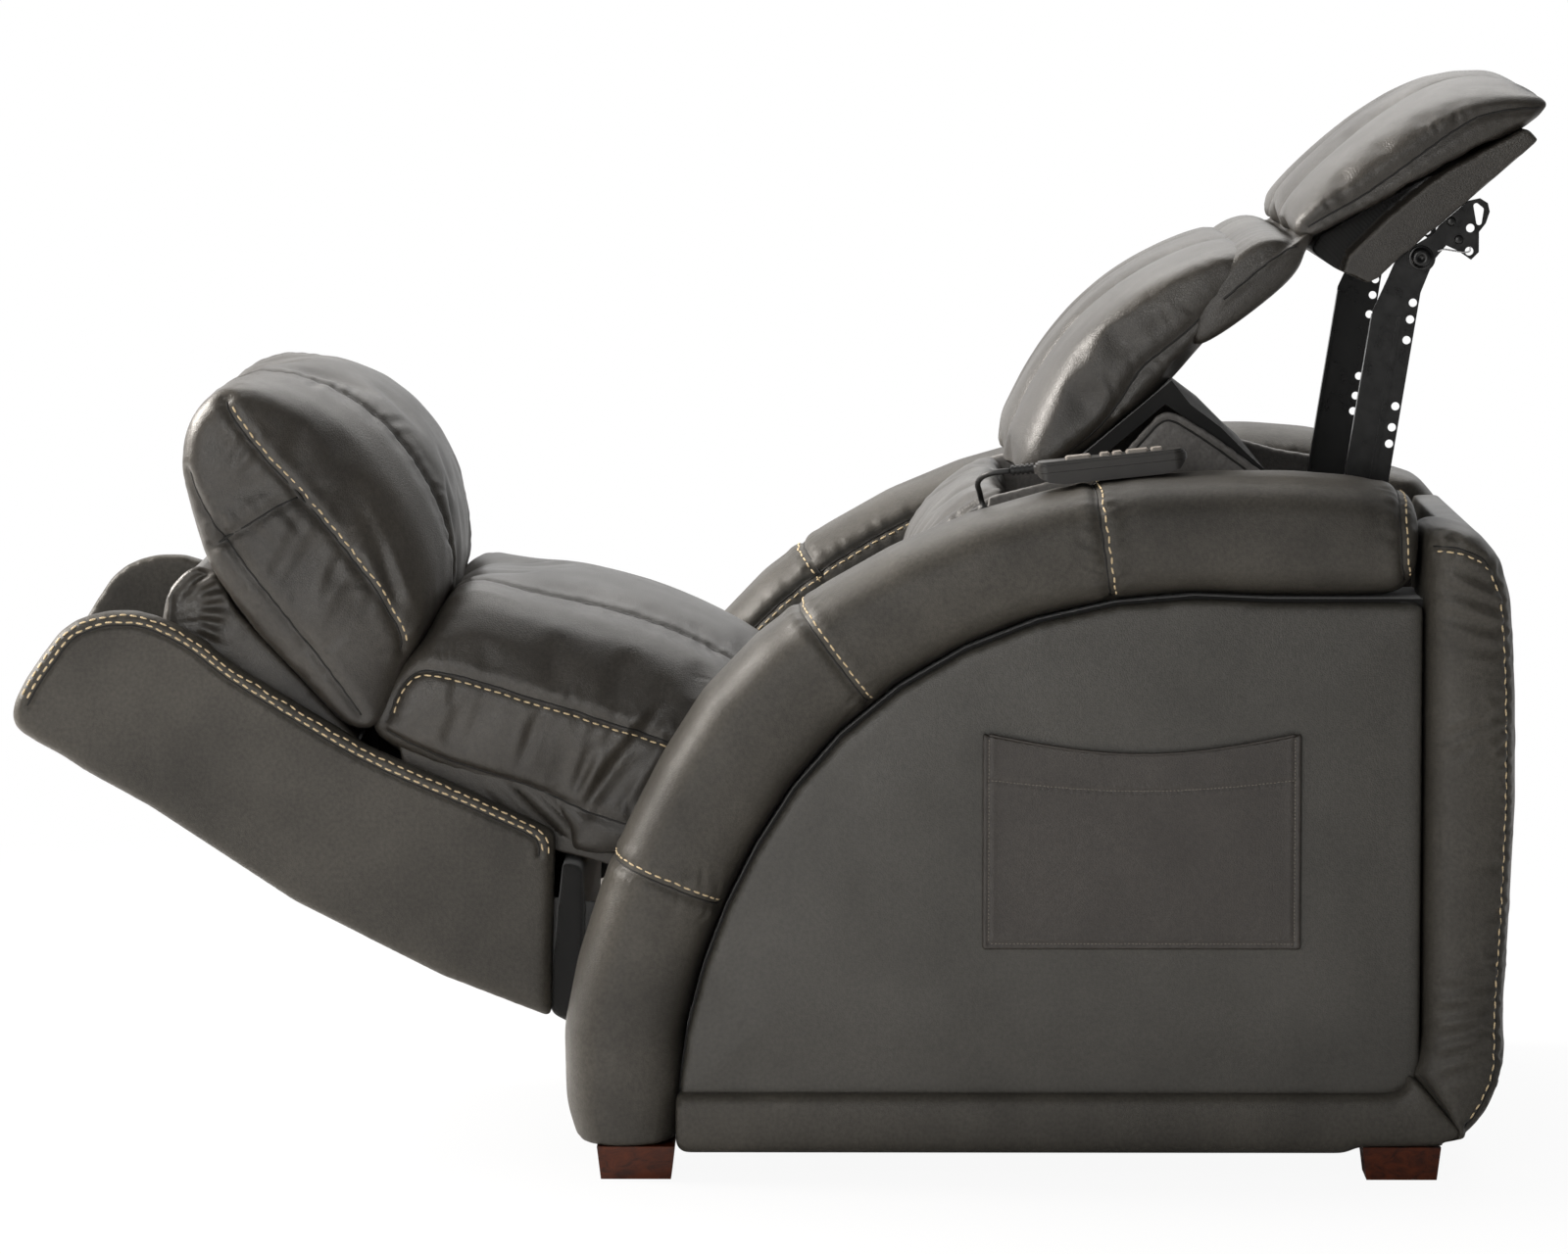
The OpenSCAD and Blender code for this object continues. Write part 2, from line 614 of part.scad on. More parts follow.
// Padded side wings of the back, between the back board and the rails
back_under = [1080, 706];
back_dir = unit([230, 194]);
back_n = [back_dir[1], -back_dir[0]];
back_board_l = 154;
back_board_t = 14;
wing_x = rail_web_x + rail_t + seat_fit;
wing_side_t = 12;
module back_wing(side) {
    gap = back_n * seat_fit * 3;
    color("#5b5a58") on_side(side) side_plate(wing_x, wing_x + wing_side_t) polygon([back_under + gap,
        [1140, 722], [1153, 734], [1186, 771], [1196, 777], [1209, 774], [1245, 752], [1275, 730],
        [1298, 713], [1345, 700], [1409, 690], [1397, 612], [1380, 585], [1150, 550], [1050, 560],
        [1000, 610], [1012, 688]]);
}

// Board under the back cushion, bent down behind it
module back_board() {
    x = wing_x - seat_fit;
    a = back_under + back_n * seat_fit + back_dir * 6;
    color("#33312f") side_plate(-x, x) polygon([a, a + back_dir * back_board_l, [1222, 784], [1254, 760],
        [1281, 733], [1300, 716], [1290, 706], [1271, 723], [1246, 748], [1214, 772], [1196, 784],
        a + back_n * back_board_t]);
}

// Lower back cushion: three upright panels between two sewn channels
function under_back(t) = back_under + back_dir * t;
back_low = [under_back(294) - back_n * 14, under_back(220) - back_n * 13, under_back(130), under_back(6)];
back_edge = concat([[1052, 722], [1075, 775], [1118, 846], [1176, 900], [1235, 932], [1282, 945],
    [1306, 928]], back_low);
back_middle = concat([[1022, 708], [1052, 792], [1106, 872], [1180, 926], [1240, 952], [1280, 957],
    [1304, 934]], back_low);
module back_cushion() {
    color("#55524f") cushion(back_edge, back_middle, cushion_x, [back_under, back_n], [-0.33, 0.33], 0.7);
}

// Roll in front of the back's lower end
bolster_edge = [[934, 616], [956, 644], [984, 668], [1006, 685], [1024, 695], [1040, 680], [1030, 630],
    [985, 596], [944, 582], [930, 594]];
bolster_middle = [[924, 614], [950, 645], [980, 671], [1006, 690], [1024, 698], [1040, 680], [1030, 628],
    [985, 594], [940, 574], [920, 588]];
module bolster() {
    color("#6b665f") cushion(bolster_edge, bolster_middle, wing_x - seat_fit);
}

// Headrest: board, cushion and the steel plates on the head pivot
head_under = [1358, 960];
head_dir = unit([223, 119]);
head_n = [head_dir[1], -head_dir[0]];
head_plate_x = rail_web_x + rail_t + 2;
head_slot_x = [rail_web_x + rail_t - rail_flange - 3, head_plate_x + plate_t + 2];
head_face = [1408, 909];
head_face_dir = unit([176, 152]);
head_face_l = 230;
head_face_n = [head_face_dir[1], -head_face_dir[0]];
function on_head_face(t) = head_face + head_face_dir * t + head_face_n * seat_fit;
module head_board() {
    a = head_under + head_n * seat_fit;
    color("#33312f") difference() {
        side_plate(-cushion_x, cushion_x) polygon([a, [1349, 943], [1373, 925], head_face,
            head_face + head_face_dir * head_face_l, a + head_dir * 240]);
        for (m = [0, 1]) mirror([m, 0, 0])
            side_plate(head_slot_x[0], head_slot_x[1]) translate([1330, 880]) square([156, 90]);
    }
}
function under_head(t) = head_under + head_dir * t;
head_low = [for (t = [250, 170, 85, 0]) under_head(t)];
head_edge = concat([[1326, 964], [1348, 992], [1412, 1042], [1474, 1080], [1532, 1100], [1584, 1103],
    [1598, 1096]], head_low, [[1338, 950]]);
head_middle = concat([[1319, 978], [1352, 1020], [1425, 1083], [1488, 1121], [1545, 1127], [1590, 1110],
    [1599, 1097]], head_low, [[1334, 954]]);
module head_cushion() {
    color("#55524f") cushion(head_edge, head_middle, cushion_x, [head_under, head_n], [-0.33, 0.33], 0.5);
}

module head_bracket(side) {
    color("#141415") on_side(side) {
        side_plate(head_plate_x, head_plate_x + plate_t) difference() {
            union() {
                translate(head_pivot) circle(r = 15, $fn = 64);
                polygon([[1451, 948], [1464, 922], [1487, 950], [1500, 944], [1513, 935], [1521, 943],
                    [1521, 964], [1528, 973], [1532, 985], [1530, 994], [1522, 999], on_head_face(134),
                    on_head_face(94), [1474, 962]]);
            }
            translate([1512, 968]) circle(d = 9, $fn = 32);
            translate([1511, 944]) circle(d = 9, $fn = 32);
            hull() for (c = [[1518, 991], [1523, 987], [1521, 974]]) translate(c) circle(r = 3, $fn = 24);
        }
        cross_rod(head_pivot, rail_web_x - 4, head_plate_x + 0.5, pin_d);
    }
}

arm_core(1);  // left_arm_core
arm_core(-1);  // right_arm_core
arm_roll(1);  // left_arm_roll
arm_roll(-1);  // right_arm_roll
side_panel(1);  // left_side_panel
side_panel(-1);  // right_side_panel
bottom_roll(1);  // left_bottom_roll
bottom_roll(-1);  // right_bottom_roll
rear_band(1);  // left_rear_band
rear_band(-1);  // right_rear_band
rear_panel();
cross_rail(700);  // front_cross_rail
cross_rail(1380);  // rear_cross_rail
foot(1, foot_at[0]);  // foot_front_left
foot(-1, foot_at[0]);  // foot_front_right
foot(1, foot_at[1]);  // foot_rear_left
foot(-1, foot_at[1]);  // foot_rear_right
pocket();
handset_base();
handset_top();
strain_relief();
handset_cord();
cord_grommet();
button(0);  // button_1
button(1);  // button_2
button(2);  // button_3
button(3);  // button_4
button(4);  // button_5
glide_rail(1);  // left_glide_rail
glide_rail(-1);  // right_glide_rail
seat_slider(1);  // left_seat_slider
seat_slider(-1);  // right_seat_slider
mech_plate(1);  // left_mech_plate
mech_plate(-1);  // right_mech_plate
seat_frame();
seat_deck();
seat_cushion();
footrest_arm(1);  // left_footrest_arm
footrest_arm(-1);  // right_footrest_arm
tray_panel();
tray_flap();
tray_wing(1);  // left_tray_wing
tray_wing(-1);  // right_tray_wing
leg_board();
pad_gusset();
leg_pad();
back_rail(1);  // left_back_rail
back_rail(-1);  // right_back_rail
back_bracket(1);  // left_back_bracket
back_bracket(-1);  // right_back_bracket
back_tube();
back_wing(1);  // left_back_wing
back_wing(-1);  // right_back_wing
back_board();
back_cushion();
bolster();
head_board();
head_cushion();
head_bracket(1);  // left_head_bracket
head_bracket(-1);  // right_head_bracket
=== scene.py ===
"""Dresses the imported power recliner: leather, stitching, cushions, steel, wood and the studio around it."""

import math

import bmesh
import bpy
import numpy as np
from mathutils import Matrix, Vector
from mathutils.bvhtree import BVHTree
from mathutils.kdtree import KDTree


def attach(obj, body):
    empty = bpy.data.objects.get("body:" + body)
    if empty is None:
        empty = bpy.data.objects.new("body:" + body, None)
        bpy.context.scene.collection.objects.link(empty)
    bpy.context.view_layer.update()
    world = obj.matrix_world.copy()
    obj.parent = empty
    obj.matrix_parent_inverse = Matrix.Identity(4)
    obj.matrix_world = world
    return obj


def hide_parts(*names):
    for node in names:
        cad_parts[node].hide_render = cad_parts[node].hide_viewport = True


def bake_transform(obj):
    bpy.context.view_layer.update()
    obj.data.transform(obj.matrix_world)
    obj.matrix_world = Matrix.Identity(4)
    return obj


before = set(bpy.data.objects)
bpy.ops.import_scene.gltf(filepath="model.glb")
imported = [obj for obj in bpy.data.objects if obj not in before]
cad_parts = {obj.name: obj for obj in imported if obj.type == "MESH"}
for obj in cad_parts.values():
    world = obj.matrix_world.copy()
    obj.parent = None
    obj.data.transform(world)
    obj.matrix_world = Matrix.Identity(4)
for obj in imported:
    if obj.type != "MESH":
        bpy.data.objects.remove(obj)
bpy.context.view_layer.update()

# Sizes in mm, as in the part: x across the chair, station along it, height above the floor

MM = 0.001
DATUM = 796  # station of the row's origin
HALF_W = 495
ARM_W = 190
ARM_MID = HALF_W - ARM_W / 2
CUSHION_X = 292
ARCH_OUTER = ((1250, 148), 678, 575)  # centre and half-axes of the arch's outer ellipse


def place(x, s, z):
    """A point from millimetres across, station and height, in the row frame."""
    return Vector((x * MM, (s - DATUM) * MM, z * MM))


def places(points):
    return [place(*p) for p in points]


# Camera

CAMERA_AT = (8078, 860, 1258)
CAMERA_TO = (495, 800, 570)
LENS_MM = 171.85


def add_camera():
    data = bpy.data.cameras.new("camera")
    data.lens = LENS_MM
    data.sensor_width = 36
    data.clip_end = 60
    obj = bpy.data.objects.new("camera", data)
    obj.location = place(*CAMERA_AT)
    sight = Vector(place(*CAMERA_TO)) - Vector(place(*CAMERA_AT))
    obj.rotation_euler = sight.to_track_quat("-Z", "Y").to_euler()
    bpy.context.scene.collection.objects.link(obj)
    bpy.context.scene.camera = obj


# Objects and meshes


def link(name, data):
    obj = bpy.data.objects.new(name, data)
    bpy.context.scene.collection.objects.link(obj)
    return obj


def mesh_object(name, points, faces, material):
    mesh = bpy.data.meshes.new(name)
    mesh.from_pydata([tuple(p) for p in points], [], faces)
    mesh.polygons.foreach_set("use_smooth", [True] * len(mesh.polygons))
    mesh.materials.append(material)
    return link(name, mesh)


def coords(mesh):
    flat = np.empty(len(mesh.vertices) * 3, np.float32)
    mesh.vertices.foreach_get("co", flat)
    return flat.reshape(-1, 3).astype(float)


def set_coords(mesh, points):
    mesh.vertices.foreach_set("co", np.asarray(points, np.float32).ravel())
    mesh.update()


def normals(mesh):
    flat = np.empty(len(mesh.vertices) * 3, np.float32)
    mesh.vertex_normals.foreach_get("vector", flat)
    return flat.reshape(-1, 3).astype(float)


def apply_modifiers(obj):
    graph = bpy.context.evaluated_depsgraph_get()
    mesh = bpy.data.meshes.new_from_object(obj.evaluated_get(graph))
    obj.modifiers.clear()
    obj.data = mesh
    mesh.polygons.foreach_set("use_smooth", [True] * len(mesh.polygons))


def add_modifier(obj, kind, **settings):
    modifier = obj.modifiers.new(kind.lower(), kind)
    for key, value in settings.items():
        setattr(modifier, key, value)
    return modifier


def copy_of_node(node, name, material):
    """A new object with the CAD node's mesh, its split corners joined."""
    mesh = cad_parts[node].data.copy()
    work = bmesh.new()
    work.from_mesh(mesh)
    bmesh.ops.remove_doubles(work, verts=work.verts, dist=0.01 * MM)
    work.to_mesh(mesh)
    work.free()
    mesh.materials.clear()
    mesh.materials.append(material)
    return link(name, mesh)


def joined(name, parts, material):
    """One object from several (points, faces) pairs."""
    points, faces = [], []
    for part_points, part_faces in parts:
        first = len(points)
        points.extend(part_points)
        faces.extend([tuple(first + i for i in f) for f in part_faces])
    return mesh_object(name, points, faces, material)


# Lines on surfaces


def even(points, step):
    """The polyline's points laid out again at an even step."""
    p = np.array([tuple(q) for q in points], float)
    along = np.concatenate([[0], np.cumsum(np.linalg.norm(np.diff(p, axis=0), axis=1))])
    count = max(2, int(round(along[-1] / step)) + 1)
    t = np.linspace(0, along[-1], count)
    return np.stack([np.interp(t, along, p[:, i]) for i in range(3)], axis=1)


def curved(points, steps=8):
    """A smooth curve through the points."""
    p = [np.array(tuple(q), float) for q in points]
    ends = [2 * p[0] - p[1]] + p + [2 * p[-1] - p[-2]]
    out = []
    for i in range(1, len(ends) - 2):
        a, b, c, d = ends[i - 1 : i + 3]
        for k in range(steps):
            t = k / steps
            out.append(
                0.5 * (2 * b + (c - a) * t + (2 * a - 5 * b + 4 * c - d) * t**2 + (3 * b - a - 3 * c + d) * t**3)
            )
    out.append(ends[-2])
    return out


def tree_of(obj):
    work = bmesh.new()
    work.from_mesh(obj.data)
    tree = BVHTree.FromBMesh(work)
    work.free()
    return tree


def laid(tree, points, step=2.5 * MM):
    """The line pulled onto the surface: its points and the surface's normals there."""
    on, up = [], []
    for p in even(points, step):
        hit, normal, _, _ = tree.find_nearest(Vector(p))
        on.append(np.array(hit))
        up.append(np.array(normal))
    on, up = np.array(on), np.array(up)
    for _ in range(3):
        on[1:-1] = (on[:-2] + 2 * on[1:-1] + on[2:]) / 4
        up[1:-1] = (up[:-2] + 2 * up[1:-1] + up[2:]) / 4
    return on, up / np.linalg.norm(up, axis=1, keepdims=True)


def carve(obj, points, depth=3, width=5, puff=1.5, pucker=0.8, pitch=19, seed=0):
    """Draws the surface in along a seam, swells it beside the seam and puckers it across; sizes in mm."""
    mesh = obj.data
    co, no = coords(mesh), normals(mesh)
    line = even(points, 2 * MM)
    reach = 34 * MM
    near = np.all((co > line.min(0) - reach) & (co < line.max(0) + reach), axis=1)
    tree = KDTree(len(line))
    for i, p in enumerate(line):
        tree.insert(p, i)
    tree.balance()
    move = np.zeros(len(co))
    for i in np.nonzero(near)[0]:
        _, k, d = tree.find(co[i])
        if d > reach:
            continue
        d /= MM
        groove = -depth * math.exp(-((d / width) ** 2))
        swell = puff * math.exp(-(((d - 2.6 * width) / (1.5 * width)) ** 2))
        s = k * 2
        wave = math.sin(2 * math.pi * s / pitch + 1.7 * math.sin(s / 31 + seed) + seed)
        wave += 0.5 * math.sin(2 * math.pi * s / (pitch * 0.61) + 2.3 * seed)
        fold = pucker * wave * math.exp(-(((d - 2 * width) / (2 * width)) ** 2))
        move[i] = groove + swell + fold
    set_coords(mesh, co + no * move[:, None] * MM)


def crease(obj, folds):
    """Presses folds into the surface, each (start, end, depth mm, width mm), deepest in the middle."""
    mesh = obj.data
    co, no = coords(mesh), normals(mesh)
    move = np.zeros(len(co))
    for start, end, depth, width in folds:
        a, b = np.array(start, float), np.array(end, float)
        t = np.clip((co - a) @ (b - a) / ((b - a) @ (b - a)), 0, 1)
        d = np.linalg.norm(co - a - t[:, None] * (b - a), axis=1) / MM / width
        taper = np.sin(math.pi * np.clip(t, 0.02, 0.98)) ** 0.8
        move += depth * taper * (0.45 * np.exp(-((d - 1.9) ** 2) / 0.6) - np.exp(-(d**2)))
    set_coords(mesh, co + no * move[:, None] * MM)


def fan(line, up, random, count, length=(18, 60), depth=(0.8, 2.6), width=(3, 6), both=True):
    """Folds that leave a laid line at uneven places, as leather gathers at a seam."""
    folds = []
    for _ in range(count):
        i = random.integers(3, len(line) - 4)
        along = line[i + 2] - line[i - 2]
        along /= np.linalg.norm(along)
        across = np.cross(up[i], along) * (random.choice([-1, 1]) if both else 1)
        turn = random.uniform(-0.7, 0.7)
        way = across * math.cos(turn) + along * math.sin(turn)
        reach = random.uniform(*length) * MM
        start = line[i] + way * 2 * MM
        folds.append((start, start + way * reach, random.uniform(*depth), random.uniform(*width)))
    return folds


def closed_rings(count, sides, first=0):
    """The faces of a skin over count rings of points, with both ends filled."""
    faces = []
    for start in range(first, first + (count - 1) * sides, sides):
        for i in range(sides):
            a, b = start + i, start + (i + 1) % sides
            faces.append((a, b, b + sides, a + sides))
    faces.append(tuple(range(first + sides - 1, first - 1, -1)))
    faces.append(tuple(range(first + (count - 1) * sides, first + count * sides)))
    return faces


def tube(points, radius, sides=8):
    """The (points, faces) of a closed tube along the line."""
    p = np.array([tuple(q) for q in points], float)
    t = np.gradient(p, axis=0)
    t /= np.linalg.norm(t, axis=1, keepdims=True)
    u = np.cross(t, [0.31, 0.2, 0.93])
    u /= np.linalg.norm(u, axis=1, keepdims=True)
    v = np.cross(t, u)
    angles = np.arange(sides) * 2 * math.pi / sides
    rings = [p + radius * (math.cos(a) * u + math.sin(a) * v) for a in angles]
    out = np.stack(rings, axis=1).reshape(-1, 3)
    return out.tolist(), closed_rings(len(p), sides)


STITCH_L, STITCH_GAP, STITCH_R = 7.4, 3.4, 1.05
STITCH_SIDES, STITCH_RINGS = 6, ((-1, 0.35), (-0.72, 0.9), (0, 1), (0.72, 0.9), (1, 0.35))


def stitches(on, up, length=STITCH_L, between=STITCH_GAP, radius=STITCH_R):
    """The (points, faces) of a row of stitches along a laid line."""
    gap = (length + between) * MM
    run = np.concatenate([[0], np.cumsum(np.linalg.norm(np.diff(on, axis=0), axis=1))])
    points, faces = [], []
    for c in np.arange(gap, run[-1] - gap / 2, gap):
        p = np.array([np.interp(c, run, on[:, i]) for i in range(3)])
        q = np.array([np.interp(c + 0.5 * MM, run, on[:, i]) for i in range(3)])
        n = np.array([np.interp(c, run, up[:, i]) for i in range(3)])
        t = (q - p) / np.linalg.norm(q - p)
        n -= t * (n @ t)
        n /= np.linalg.norm(n)
        b = np.cross(n, t)
        p = p + n * 0.24 * radius * MM
        first = len(points)
        for f, r in STITCH_RINGS:
            for k in range(STITCH_SIDES):
                a = k * 2 * math.pi / STITCH_SIDES
                points.append(
                    p
                    + t * f * length / 2 * MM
                    + (b * math.cos(a) + n * math.sin(a) * (1 if r == 1 else 0.8)) * r * radius * MM
                )
        faces += closed_rings(len(STITCH_RINGS), STITCH_SIDES, first)
    return points, faces


# Materials


def node_material(name):
    material = bpy.data.materials.new(name)
    material.use_nodes = True
    tree = material.node_tree
    return material, tree, tree.nodes["Principled BSDF"]


def texture(tree, kind, scale, **settings):
    node = tree.nodes.new("ShaderNodeTex" + kind)
    for key, value in settings.items():
        if key in node.inputs:
            node.inputs[key].default_value = value
        else:
            setattr(node, key, value)
    node.inputs["Scale"].default_value = scale
    where = tree.nodes.get("Texture Coordinate") or tree.nodes.new("ShaderNodeTexCoord")
    tree.links.new(where.outputs["Object"], node.inputs["Vector"])
    return node


def ramp(tree, source, stops):
    node = tree.nodes.new("ShaderNodeValToRGB")
    for i, (at, value) in enumerate(stops):
        stop = node.color_ramp.elements[i] if i < 2 else node.color_ramp.elements.new(at)
        stop.position = at
        stop.color = (*value, 1) if isinstance(value, tuple) else (value, value, value, 1)
    tree.links.new(source, node.inputs[0])
    return node.outputs[0]


def mixed(tree, blend, factor, a, b):
    node = tree.nodes.new("ShaderNodeMix")
    node.data_type = "RGBA"
    node.blend_type = blend
    node.inputs[0].default_value = factor
    tree.links.new(a, node.inputs[6])
    tree.links.new(b, node.inputs[7])
    return node.outputs[2]


def bumps(tree, shader, layers):
    """Adds bump layers, each (height output, strength, distance in mm)."""
    last = None
    for height, strength, distance in layers:
        node = tree.nodes.new("ShaderNodeBump")
        node.inputs["Strength"].default_value = strength
        node.inputs["Distance"].default_value = distance * MM
        tree.links.new(height, node.inputs["Height"])
        if last:
            tree.links.new(last, node.inputs["Normal"])
        last = node.outputs[0]
    tree.links.new(last, shader.inputs["Normal"])


def leather(name, dark, light, rough=(0.36, 0.52), creases=1.0, specular=0.5):
    """Pigmented hide: clouded colour, pebble grain of about 3 mm and fine creases."""
    material, tree, shader = node_material(name)
    cloud = texture(tree, "Noise", 7, Detail=5, Roughness=0.6)
    speck = texture(tree, "Noise", 240, Detail=3)
    grain = texture(tree, "Voronoi", 360, feature="DISTANCE_TO_EDGE")
    warp = texture(tree, "Noise", 26, noise_type="RIDGED_MULTIFRACTAL", Detail=5, Lacunarity=2.4, Distortion=0.6)
    colour = ramp(tree, cloud.outputs[0], [(0.32, dark), (0.7, light)])
    fine = ramp(tree, speck.outputs[0], [(0.32, 0.72), (0.66, 1.0)])
    tree.links.new(mixed(tree, "MULTIPLY", 1, colour, fine), shader.inputs["Base Color"])
    tree.links.new(ramp(tree, cloud.outputs[0], [(0.3, rough[1]), (0.75, rough[0])]), shader.inputs["Roughness"])
    shader.inputs["Specular IOR Level"].default_value = specular
    pebble = ramp(tree, grain.outputs[0], [(0.0, 0.0), (0.16, 1.0)])
    crease = ramp(tree, warp.outputs[0], [(0.35, 1.0), (0.85, 0.0)])
    bumps(tree, shader, [(pebble, 0.5, 0.25), (crease, 0.5 * creases, 1.2), (speck.outputs[0], 0.3, 0.2)])
    return material


def cloth_material(name, dark, light, thread=1.4):
    """Woven fabric with threads about the given mm apart."""
    material, tree, shader = node_material(name)
    warp = texture(tree, "Wave", 1000 / thread / 6.28, bands_direction="X", Distortion=0.4)
    weft = texture(tree, "Wave", 1000 / thread / 6.28, bands_direction="DIAGONAL", Distortion=0.4)
    cloud = texture(tree, "Noise", 14, Detail=5)
    weave = mixed(tree, "MULTIPLY", 1, warp.outputs[0], weft.outputs[0])
    colour = ramp(tree, cloud.outputs[0], [(0.3, dark), (0.7, light)])
    tree.links.new(mixed(tree, "MULTIPLY", 0.35, colour, weave), shader.inputs["Base Color"])
    shader.inputs["Roughness"].default_value = 0.85
    shader.inputs["Sheen Weight"].default_value = 0.25
    shader.inputs["Sheen Roughness"].default_value = 0.5
    bumps(tree, shader, [(weave, 0.6, 0.4)])
    return material


def painted_steel(name, colour, rough, metal=0.0):
    """Painted or plated sheet with faint scuffs and an uneven gloss."""
    material, tree, shader = node_material(name)
    scuff = texture(tree, "Noise", 60, Detail=8, Roughness=0.7)
    peel = texture(tree, "Noise", 420, Detail=2)
    tree.links.new(
        ramp(tree, scuff.outputs[0], [(0.35, colour), (0.8, tuple(min(1, c * 1.8 + 0.004) for c in colour))]),
        shader.inputs["Base Color"],
    )
    tree.links.new(ramp(tree, scuff.outputs[0], [(0.3, rough), (0.75, rough + 0.18)]), shader.inputs["Roughness"])
    shader.inputs["Metallic"].default_value = metal
    shader.inputs["Specular IOR Level"].default_value = 0.5
    bumps(tree, shader, [(peel.outputs[0], 0.25, 0.15)])
    return material


def wood(name, dark, light, rough=0.45):
    """Straight-grained wood, its rings stretched along the chair's width."""
    material, tree, shader = node_material(name)
    where = tree.nodes.new("ShaderNodeTexCoord")
    stretch = tree.nodes.new("ShaderNodeMapping")
    stretch.inputs["Scale"].default_value = (2, 14, 30)
    tree.links.new(where.outputs["Object"], stretch.inputs["Vector"])
    grain = texture(tree, "Noise", 3.2, Detail=8, Roughness=0.65, Distortion=1.2)
    tree.links.new(stretch.outputs[0], grain.inputs["Vector"])
    pores = texture(tree, "Noise", 22, Detail=3)
    tree.links.new(stretch.outputs[0], pores.inputs["Vector"])
    tree.links.new(ramp(tree, grain.outputs[0], [(0.36, dark), (0.62, light)]), shader.inputs["Base Color"])
    shader.inputs["Roughness"].default_value = rough
    shader.inputs["Specular IOR Level"].default_value = 0.3
    bumps(tree, shader, [(grain.outputs[0], 0.25, 0.5), (pores.outputs[0], 0.3, 0.2)])
    return material


def plastic(name, colour, rough=0.42, texture_mm=0.7):
    """Moulded plastic with a fine spark-eroded texture."""
    material, tree, shader = node_material(name)
    fine = texture(tree, "Voronoi", 1000 / texture_mm, feature="SMOOTH_F1")
    cloud = texture(tree, "Noise", 40, Detail=4)
    tree.links.new(
        ramp(tree, cloud.outputs[0], [(0.3, tuple(c * 0.9 for c in colour)), (0.7, colour)]),
        shader.inputs["Base Color"],
    )
    tree.links.new(ramp(tree, cloud.outputs[0], [(0.3, rough + 0.06), (0.7, rough)]), shader.inputs["Roughness"])
    bumps(tree, shader, [(fine.outputs[0], 0.35, 0.12)])
    return material


def thread(name, colour):
    """Twisted sewing thread."""
    material, tree, shader = node_material(name)
    twist = texture(tree, "Wave", 300, bands_direction="DIAGONAL", Distortion=1)
    tree.links.new(
        ramp(tree, twist.outputs[0], [(0.2, tuple(c * 0.6 for c in colour)), (0.7, colour)]),
        shader.inputs["Base Color"],
    )
    shader.inputs["Roughness"].default_value = 0.7
    bumps(tree, shader, [(twist.outputs[0], 0.4, 0.2)])
    return material


ARCH = leather("arch_leather", (0.038, 0.0345, 0.029), (0.0695, 0.063, 0.0525), rough=(0.38, 0.52), specular=0.3)
PANEL = leather("panel_leather", (0.035, 0.0325, 0.027), (0.053, 0.049, 0.0415), creases=0.5)
CUSHION = leather("cushion_leather", (0.028, 0.0245, 0.0205), (0.054, 0.0475, 0.039), rough=(0.32, 0.47))
POCKET = leather("pocket_leather", (0.025, 0.0205, 0.017), (0.040, 0.0335, 0.028), creases=0.5)
# black cloth of the frame parts and the tray flap, also used as painted shade in the headrest's hollows
LINING_AND_PAINTED_SHADE = cloth_material("black_lining_and_painted_shade", (0.004, 0.004, 0.004), (0.009, 0.0085, 0.008))
WING = leather("wing_fabric", (0.13, 0.123, 0.116), (0.205, 0.195, 0.185), rough=(0.45, 0.6), creases=0.6)
BLACK_STEEL = painted_steel("black_steel", (0.0015, 0.0015, 0.0015), 0.24)
SLIDER_STEEL = painted_steel("slider_steel", (0.28, 0.28, 0.29), 0.34, 1.0)
BRIGHT_STEEL = painted_steel("bright_steel", (0.52, 0.52, 0.53), 0.24, 1.0)
FRAME_WOOD = wood("frame_wood", (0.22, 0.14, 0.075), (0.42, 0.29, 0.17), 0.6)
FOOT_WOOD = wood("foot_wood", (0.028, 0.0045, 0.0004), (0.08, 0.014, 0.0016), 0.42)
HANDSET = plastic("handset_plastic", (0.018, 0.016, 0.014))
BUTTON = plastic("button_plastic", (0.30, 0.27, 0.24), 0.38)
RUBBER = plastic("black_rubber", (0.012, 0.012, 0.012), 0.5, 0.5)
THREAD = thread("seam_thread", (0.74, 0.58, 0.35))
FINE_THREAD = thread("pocket_thread", (0.20, 0.18, 0.15))
SEAM = thread("seam_cord", (0.010, 0.009, 0.008))

NODE_MATERIALS = {
    BLACK_STEEL: ("mech_plate", "footrest_arm", "back_rail", "back_bracket", "back_tube", "head_bracket"),
    SLIDER_STEEL: ("seat_slider", "glide_rail"),
    FRAME_WOOD: ("cross_rail", "seat_frame"),
    FOOT_WOOD: ("foot_",),
    HANDSET: ("handset_base", "handset_top"),
    BUTTON: ("button_",),
    RUBBER: ("strain_relief", "cord_grommet"),
    LINING_AND_PAINTED_SHADE: ("arm_core", "seat_deck", "back_board", "leg_board"),
}


def dress_nodes():
    for name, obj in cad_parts.items():
        for material, words in NODE_MATERIALS.items():
            if any(w in name for w in words):
                obj.data.materials.clear()
                obj.data.materials.append(material)


# Handset cord

CORD_D = 6
CORD_ROUTE = [
    (400, 1031.8, 722.8), (400, 1024.8, 722.1), (398, 1014, 720.5), (391, 1005, 717), (378, 1000, 711.5),
    (362, 999, 706), (345, 1000, 701), (330, 1001.5, 696), (319.8, 1003, 689.5), (317.8, 1004.7, 682.8),
    (322.6, 1006.5, 676.7),
]


def add_cord():
    """The handset's cord, from its ribbed sleeve into the arm's collar."""
    route = even(curved(places(CORD_ROUTE), 6), 3.1 * MM)
    points, faces = tube(route, CORD_D / 2 * MM, 16)
    piece = mesh_object("handset_cable", points, faces, RUBBER)
    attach(piece, "base")
    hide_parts("handset_cord")


# Soft pieces


